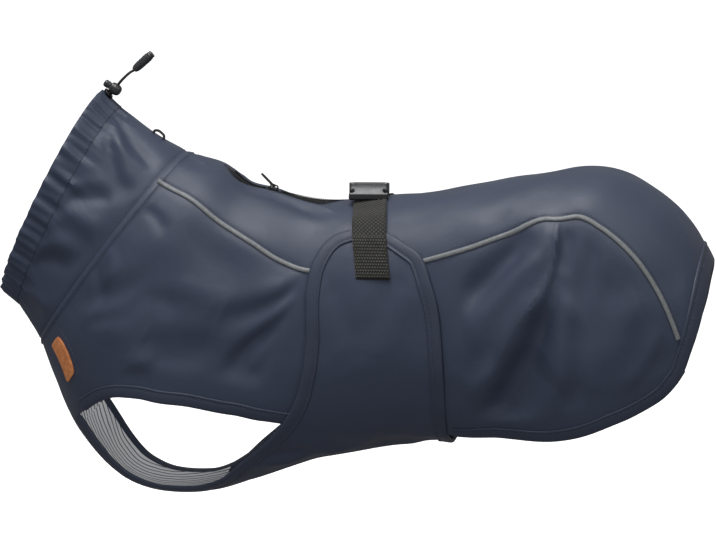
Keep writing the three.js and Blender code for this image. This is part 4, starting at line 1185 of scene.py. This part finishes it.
# A flat plate with rounded edges from outlines in mm; the first is its edge and the others are holes
def plate(name, outlines, thick, bevel, matrix, finish):
    curve = bpy.data.curves.new(name, "CURVE")
    curve.dimensions = "2D"
    curve.fill_mode = "BOTH"
    for outline in outlines:
        spline = curve.splines.new("POLY")
        spline.points.add(len(outline) - 1)
        for point, (x, y) in zip(spline.points, outline):
            point.co = (x, y, 0, 1)
        spline.use_cyclic_u = True
    curve.extrude = thick / 2 - bevel
    curve.bevel_depth = bevel
    curve.bevel_resolution = 2
    curve.offset = -bevel
    piece = plainMesh(link(name + "Curve", curve), name)
    piece.data.transform(Matrix.Scale(0.001, 4) @ matrix)
    piece.data.materials.clear()
    piece.data.materials.append(finish)
    piece.data.polygons.foreach_set("use_smooth", np.ones(len(piece.data.polygons), bool))
    piece.data.set_sharp_from_angle(angle=math.radians(40))


sliderSize = {"long": 8.5, "wide": 6, "thick": 1.6, "foot": -0.5, "arch": 2, "archLong": 6.4, "archHigh": 2.7}
pull = {"long": 13.5, "wide": 5, "thick": 1, "hole": 4.4, "lean": 45}
tailward = directions(zipLine["slider"], 0.0)[0]
slope = math.atan2(-tailward[2], tailward[0])
seat = Matrix.Translation(Vector(form(zipLine["slider"], 0.0))) @ Matrix.Rotation(slope, 4, "Y")
standing = Matrix.Rotation(math.pi / 2, 4, "X")  # a plate's outline stands in the plane of the back
top = sliderSize["foot"] + sliderSize["thick"]
halfLong, halfWide = sliderSize["long"] / 2, sliderSize["wide"] / 2
sliderPlan = [(-halfLong, -1.2), (-2.6, -halfWide), (1.2, -halfWide), (halfLong, -1.7),
              (halfLong, 1.7), (1.2, halfWide), (-2.6, halfWide), (-halfLong, 1.2)]
lift = Matrix.Translation((0, 0, sliderSize["foot"] + sliderSize["thick"] / 2))
plate("zipSlider", [sliderPlan], sliderSize["thick"], 0.35, seat @ lift, metalFinish)
reach, over = sliderSize["archLong"] / 2, top + sliderSize["archHigh"]
archOutline = [
    (-reach, top + 0.1), (-reach + 0.95, top + 0.1), (-reach + 0.95, over - 1.3), (-reach + 1.4, over - 0.85),
    (reach - 1.4, over - 0.85), (reach - 0.95, over - 1.3), (reach - 0.95, top + 0.1), (reach, top + 0.1),
    (reach, over - 1.0), (reach - 0.9, over), (0.9 - reach, over), (-reach, over - 1.0),
]
plate("zipSliderLoop", [archOutline], sliderSize["arch"], 0.25, seat @ standing, metalFinish)
halfPull = pull["wide"] / 2
pullSide = [(0.5, halfPull), (-9, halfPull), (-12.4, halfPull * 0.86), (-pull["long"], halfPull * 0.55)]
pullOutline = [(x, -y) for x, y in pullSide] + pullSide[::-1]
pullHole = [(-0.55, 1.5), (-0.55, -1.5), (-pull["hole"], -1.5), (-pull["hole"], 1.5)]
pullSlot = [(-11.6, 0.7), (-11.6, -0.7), (-10.6, -1.1), (-7.2, -1.1), (-7.2, 1.1), (-10.6, 1.1)]
hinge = seat @ Vector((0, 0, top + 0.3 + 0.75))
pullSeat = Matrix.Translation(hinge) @ Matrix.Rotation(math.radians(pull["lean"]), 4, "Y")
plate("zipPull", [pullOutline, pullHole, pullSlot], pull["thick"], 0.22, pullSeat, metalFinish)
print("zip made")


# Rings turned round an axis from a point along a direction, with a change of radius by turn and height
def turnedRings(profile, count, start, aim, sides, change=None):
    aim = np.asarray(aim, float) / np.linalg.norm(aim)
    first = unit(np.cross(aim, (0.0, 1.0, 0.0)))
    second = np.cross(aim, first)
    turns = roundTurns(sides)
    rings = []
    for radius, height in fineProfile(profile, count):
        radii = np.full(sides, max(radius, 0.02))
        if change is not None:
            radii = radii + change(turns, height) * min(radius, 1)
        rings.append(np.asarray(start) + aim * height
                     + radii[:, None] * (np.cos(turns)[:, None] * first + np.sin(turns)[:, None] * second))
    return np.array(rings)


def fineProfile(profile, count):
    profile = np.array(profile, float)
    run = runOf(profile)
    even = np.unique(np.concatenate([np.linspace(0, run[-1], count), run]))
    return np.stack([np.interp(even, run, profile[:, 0]), np.interp(even, run, profile[:, 1])], -1)


drawcord = {"radius": 0.9, "apart": 2.3, "eyelet": 0.42, "inGrip": 6.0}
lockAt = np.array([-189.6, 0, 79.3])
gripFrom = np.array([-175.2, 0, 93.6])
gripTo = np.array([-161.2, 0, 106])
lockAim = np.array([-8.0, 0, 5.0]) / math.hypot(8, 5)
gripAim = (gripTo - gripFrom) / np.linalg.norm(gripTo - gripFrom)
napeOut = directions(drawcord["eyelet"], 0.0)[2]
eyeletAt = skin(np.array(drawcord["eyelet"]), np.array(0.0), tunnelHigh(drawcord["eyelet"]) + 1.7)
eyeletAt = np.asarray(eyeletAt, float).reshape(3)
eyeletProfile = [(0, -0.6), (1.9, -0.6), (2.2, -0.2), (2.5, 0.45), (3.1, 0.75), (3.8, 0.6), (4.3, 0.0),
                 (4.2, -0.6), (3.4, -1.5), (0, -1.5)]
ringBody("eyeletRing", turnedRings(eyeletProfile, 40, eyeletAt, napeOut, 32), metalFinish)
lockProfile = [(0, -4.6), (1.8, -4.5), (2.8, -4.1), (3.8, -2.9), (4.4, -1.0), (4.5, 0.4), (4.3, 1.6),
               (4.1, 1.8), (4.2, 2.2), (3.8, 3.3), (3.2, 3.9), (0, 4.0)]
ringBody("cordLock", turnedRings(lockProfile, 50, lockAt, lockAim, 36), plasticFinish)
buttonProfile = [(0, 0), (2.5, 0), (2.6, 0.3), (2.6, 1.3), (2.85, 1.6), (2.85, 2.2), (2.6, 2.5), (2.85, 2.9),
                 (2.8, 3.8), (2.5, 4.7), (1.8, 5.2), (0, 5.4)]
ringBody("cordLockButton", turnedRings(buttonProfile, 50, lockAt + lockAim * 4.3, lockAim, 32), plasticFinish)
gripLong = float(np.linalg.norm(gripTo - gripFrom))
gripProfile = [(0, 0), (1.9, 0), (2.1, 0.3), (2.8, 1.8), (3.15, 5), (3.25, gripLong - 5),
               (2.95, gripLong - 2.2), (2.6, gripLong - 1.6), (2.6, gripLong - 1.2),
               (2.9, gripLong - 0.9), (2.6, gripLong - 0.3), (0, gripLong)]


def knurl(turns, height):
    part = smooth(height, 1.6, 3.0) * (1 - smooth(height, gripLong - 3.6, gripLong - 2.4))
    return 0.16 * part * np.cos(12 * turns + 1.2 * height) * np.cos(12 * turns - 1.2 * height * 1.6)


ringBody("cordGrip", turnedRings(gripProfile, 90, gripFrom, gripAim, 72, knurl), plasticFinish, sharp=60)


def smoothPath(points, count):
    points = np.asarray(points, float)
    padded = np.concatenate([[2 * points[0] - points[1]], points, [2 * points[-1] - points[-2]]])
    at = np.linspace(0, len(points) - 1, count)
    i = np.minimum(at.astype(int), len(points) - 2)
    return throughRows(padded[i], padded[i + 1], padded[i + 2], padded[i + 3], (at - i)[:, None])


def tubeRings(path, radius, sides):
    ahead = unit(np.gradient(path, axis=0))
    side = unit(np.cross(ahead, (0.0, 1.0, 0.02)))
    over = np.cross(ahead, side)
    turns = roundTurns(sides)
    return path[:, None, :] + radius * (np.cos(turns)[None, :, None] * side[:, None, :]
                                        + np.sin(turns)[None, :, None] * over[:, None, :])


strandRoute = [(-186.9, 83.3), (-184, 86.6), (-180.4, 90), (-177.6, 92.2), (-175.5, 93.4)]
cords = []
for side, name in ((-1, "drawcordNear"), (1, "drawcordFar")):
    y = side * drawcord["apart"] / 2
    inGrip = gripFrom + gripAim * drawcord["inGrip"]
    route = [eyeletAt + (0, y, 0), lockAt + (0, y, 0)] + [np.array([x, y, z]) for x, z in strandRoute]
    path = smoothPath(route + [inGrip + (0, y * 0.9, 0)], 30)
    ringBody(name, tubeRings(path, drawcord["radius"], 12), cordFinish)
    cords.append((name, path))

loopStation, loopAngle = 1.62, 3.2
loopTail, _, loopOut = directions(loopStation, loopAngle)
loopPath = smoothPath([form(loopStation, loopAngle) + unit(loopTail) * a + loopOut * h for a, h in (
    (-4.4, 1.2), (-4.5, 3.6), (-2.4, 5), (0.4, 5), (3.4, 4), (4.4, 1.2))], 36)
ringBody("napeLoop", tubeRings(loopPath, 1.0, 12), cordFinish)

# Blank leather label beside the chest seam
label = {"from": 2.5, "long": 0.86, "near": 0.8, "wide": 10.6, "base": 1.6, "thick": 1.25}


def labelPlace(u, v):
    station = label["from"] + label["long"] * (0.5 + 0.5 * u)
    return station, along(sideEdge, station) + label["near"] + label["wide"] * (0.5 + 0.5 * v)

def leatherLabel():
    u, v = np.meshgrid(spread(-1, 1, 44), spread(-1, 1, 26), indexing="ij")
    corner = 1 - 0.10 * (u * v) ** 6
    station, angle = labelPlace(u * corner, v * corner)
    edge = np.minimum(1 - np.abs(u), (1 - np.abs(v)) * 0.4)
    border = 0.14 * np.exp(-((edge - 0.11) / 0.035) ** 2)
    high = label["base"] + label["thick"] * (0.55 + 0.45 * smooth(edge, 0, 0.07)) - border
    maps = np.stack([u * 0.016, v * 0.006], -1)
    low = np.full(u.shape, label["base"])
    gridShell("leatherLabel", skin(station, angle, low), skin(station, angle, high), leatherFinish, maps)


leatherLabel()


def labelStitches():
    turns = np.linspace(0, 2 * np.pi, 160)
    power = 0.25
    u = np.sign(np.cos(turns)) * np.abs(np.cos(turns)) ** power * 0.86
    v = np.sign(np.sin(turns)) * np.abs(np.sin(turns)) ** power * 0.72
    station, angle = labelPlace(u, v)
    return clothLine(station, angle, label["base"] + label["thick"] - 0.05, spacing=1.0)


smallStitch = {"Pitch": 2.6, "Length": 1.8, "Width": 0.45, "Height": 0.35, "Unevenness": 0.1}
setAlong("labelStitches", threadTree, [labelStitches()], smallStitch, labelThread)
print("cord, loop and label made")


# Pieces grouped by material, the group names not used further; each is attached to the coat, the zip pull to
# the pull tab, and a piece stands for the node of its name and hides it, stitches for none
slots = {
    "coated_cloth": ["collarCasing", "collarBody", "backPanel", "sidePanelNear", "sidePanelFar", "bellyFlap",
                     "collarStitches", "seamStitches"],
    "striped_lining": ["chestLining"],
    "edge_tape": ["legTapeNear", "legTapeFar", "hemTapeNear", "hemTapeFar", "tailTape", "flapTapeFrontNear",
                  "flapTapeFrontFar", "flapTapeRear", "tapeStitches"],
    "reflective_piping": ["pipingFrontNear", "pipingFrontFar", "pipingRearNear", "pipingRearFar"],
    "webbing": ["strapNear", "strapFar"],
    "buckle_plastic": ["buckleNear", "buckleFar"],
    "zip_tape": ["zipTapeNear", "zipTapeFar"],
    "zip_metal": ["zipTeethFront", "zipTeethRear", "zipSlider", "zipSliderLoop", "zipPull", "eyeletRing"],
    "drawcord": ["drawcordNear", "drawcordFar", "napeLoop"],
    "cord_plastic": ["cordLock", "cordLockButton", "cordGrip"],
    "label_leather": ["leatherLabel", "labelStitches"],
}
otherNodes = {"collarBody": "collar", "eyeletRing": "eyelet", "leatherLabel": "label"}
for slotName, names in slots.items():
    for name in names:
        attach(pieces[name], "pull_tab" if name == "zipPull" else "coat")
        if not name.endswith("Stitches"):
            node = "".join("_" + letter.lower() if letter.isupper() else letter for letter in name)
            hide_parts(otherNodes.get(name, node))

for name, path in cords:
    reach = float(np.linalg.norm(np.diff(path, axis=0), axis=-1).sum()) * 0.001
    route = (path * 0.001).tolist()
    print(name, round(reach, 4), "m")


view = {"target": (-0.0082, 0, -0.0516), "azimuth": 9, "elevation": 8, "distance": 2.205, "lens": 150.84}
light = {
    "low": 0.17, "high": 0.42,
    "lamps": (("topLight", (-0.25, -0.5, 1.95), 1.3, 37, True), ("sideLight", (1.5, -1.5, 1.5), 1.0, 9, True),
              ("frontFill", (-0.5, -2.7, -0.3), 1.3, 29, False)),
}


def studio():
    target = Vector(view["target"])
    azimuth, elevation = math.radians(view["azimuth"]), math.radians(view["elevation"])
    back = Vector((math.sin(azimuth) * math.cos(elevation), -math.cos(azimuth) * math.cos(elevation),
                   math.sin(elevation)))
    right = Vector((math.cos(azimuth), math.sin(azimuth), 0))
    up = back.cross(right)
    camera = bpy.data.objects.new("camera", bpy.data.cameras.new("camera"))
    scene.collection.objects.link(camera)
    camera.data.lens = view["lens"]
    camera.data.clip_end = 200
    turned = Matrix((right, up, back)).transposed().to_4x4()
    camera.matrix_world = Matrix.Translation(target + back * view["distance"]) @ turned
    scene.camera = camera

    world = bpy.data.worlds.new("studio")
    scene.world = world
    world.use_nodes = True
    tree = world.node_tree
    where = tree.nodes.new("ShaderNodeTexCoord").outputs["Generated"]
    height = newNode(tree, "ShaderNodeSeparateXYZ", Vector=where).outputs["Z"]
    tree.links.new(ranged(tree, height, light["low"], light["high"], -0.5, 0.9),
                   tree.nodes["Background"].inputs["Strength"])
    tree.nodes["Background"].inputs["Color"].default_value = (1, 1, 1, 1)
    scene.view_settings.view_transform = "Standard"

    size, level = 60, -0.4
    floor = bpy.data.meshes.new("floor")
    floor.from_pydata([(x * size, y * size, level) for x, y in ((-1, -1), (1, -1), (1, 1), (-1, 1))], [],
                      [(0, 1, 2, 3)])
    finish = newFinish("paleFloor", {"Base Color": (0.9, 0.9, 0.9, 1), "Roughness": 0.9,
                                     "Emission Color": (1, 1, 1, 1), "Emission Strength": 0.8})[0]
    floorTree = finish.node_tree
    seen = floorTree.nodes["Principled BSDF"].outputs[0]
    below = floorTree.nodes.new("ShaderNodeNewGeometry").outputs["Backfacing"]
    clear = floorTree.nodes.new("ShaderNodeBsdfTransparent").outputs[0]
    mixed = newNode(floorTree, "ShaderNodeMixShader", i0=below, i1=seen, i2=clear)
    floorTree.links.new(mixed.outputs[0], floorTree.nodes["Material Output"].inputs["Surface"])
    floor.materials.append(finish)
    floorPiece = link("floor", floor)
    floorPiece.visible_diffuse = False
    floorPiece.visible_glossy = False

    for name, place, size, power, mirrored in light["lamps"]:
        lamp = bpy.data.objects.new(name, bpy.data.lights.new(name, "AREA"))
        scene.collection.objects.link(lamp)
        lamp.data.energy = power
        lamp.data.size = size
        lamp.visible_glossy = mirrored
        lamp.location = place
        lamp.rotation_mode = "QUATERNION"
        lamp.rotation_quaternion = (target - Vector(place)).to_track_quat("-Z", "Y")


studio()
print("studio made")
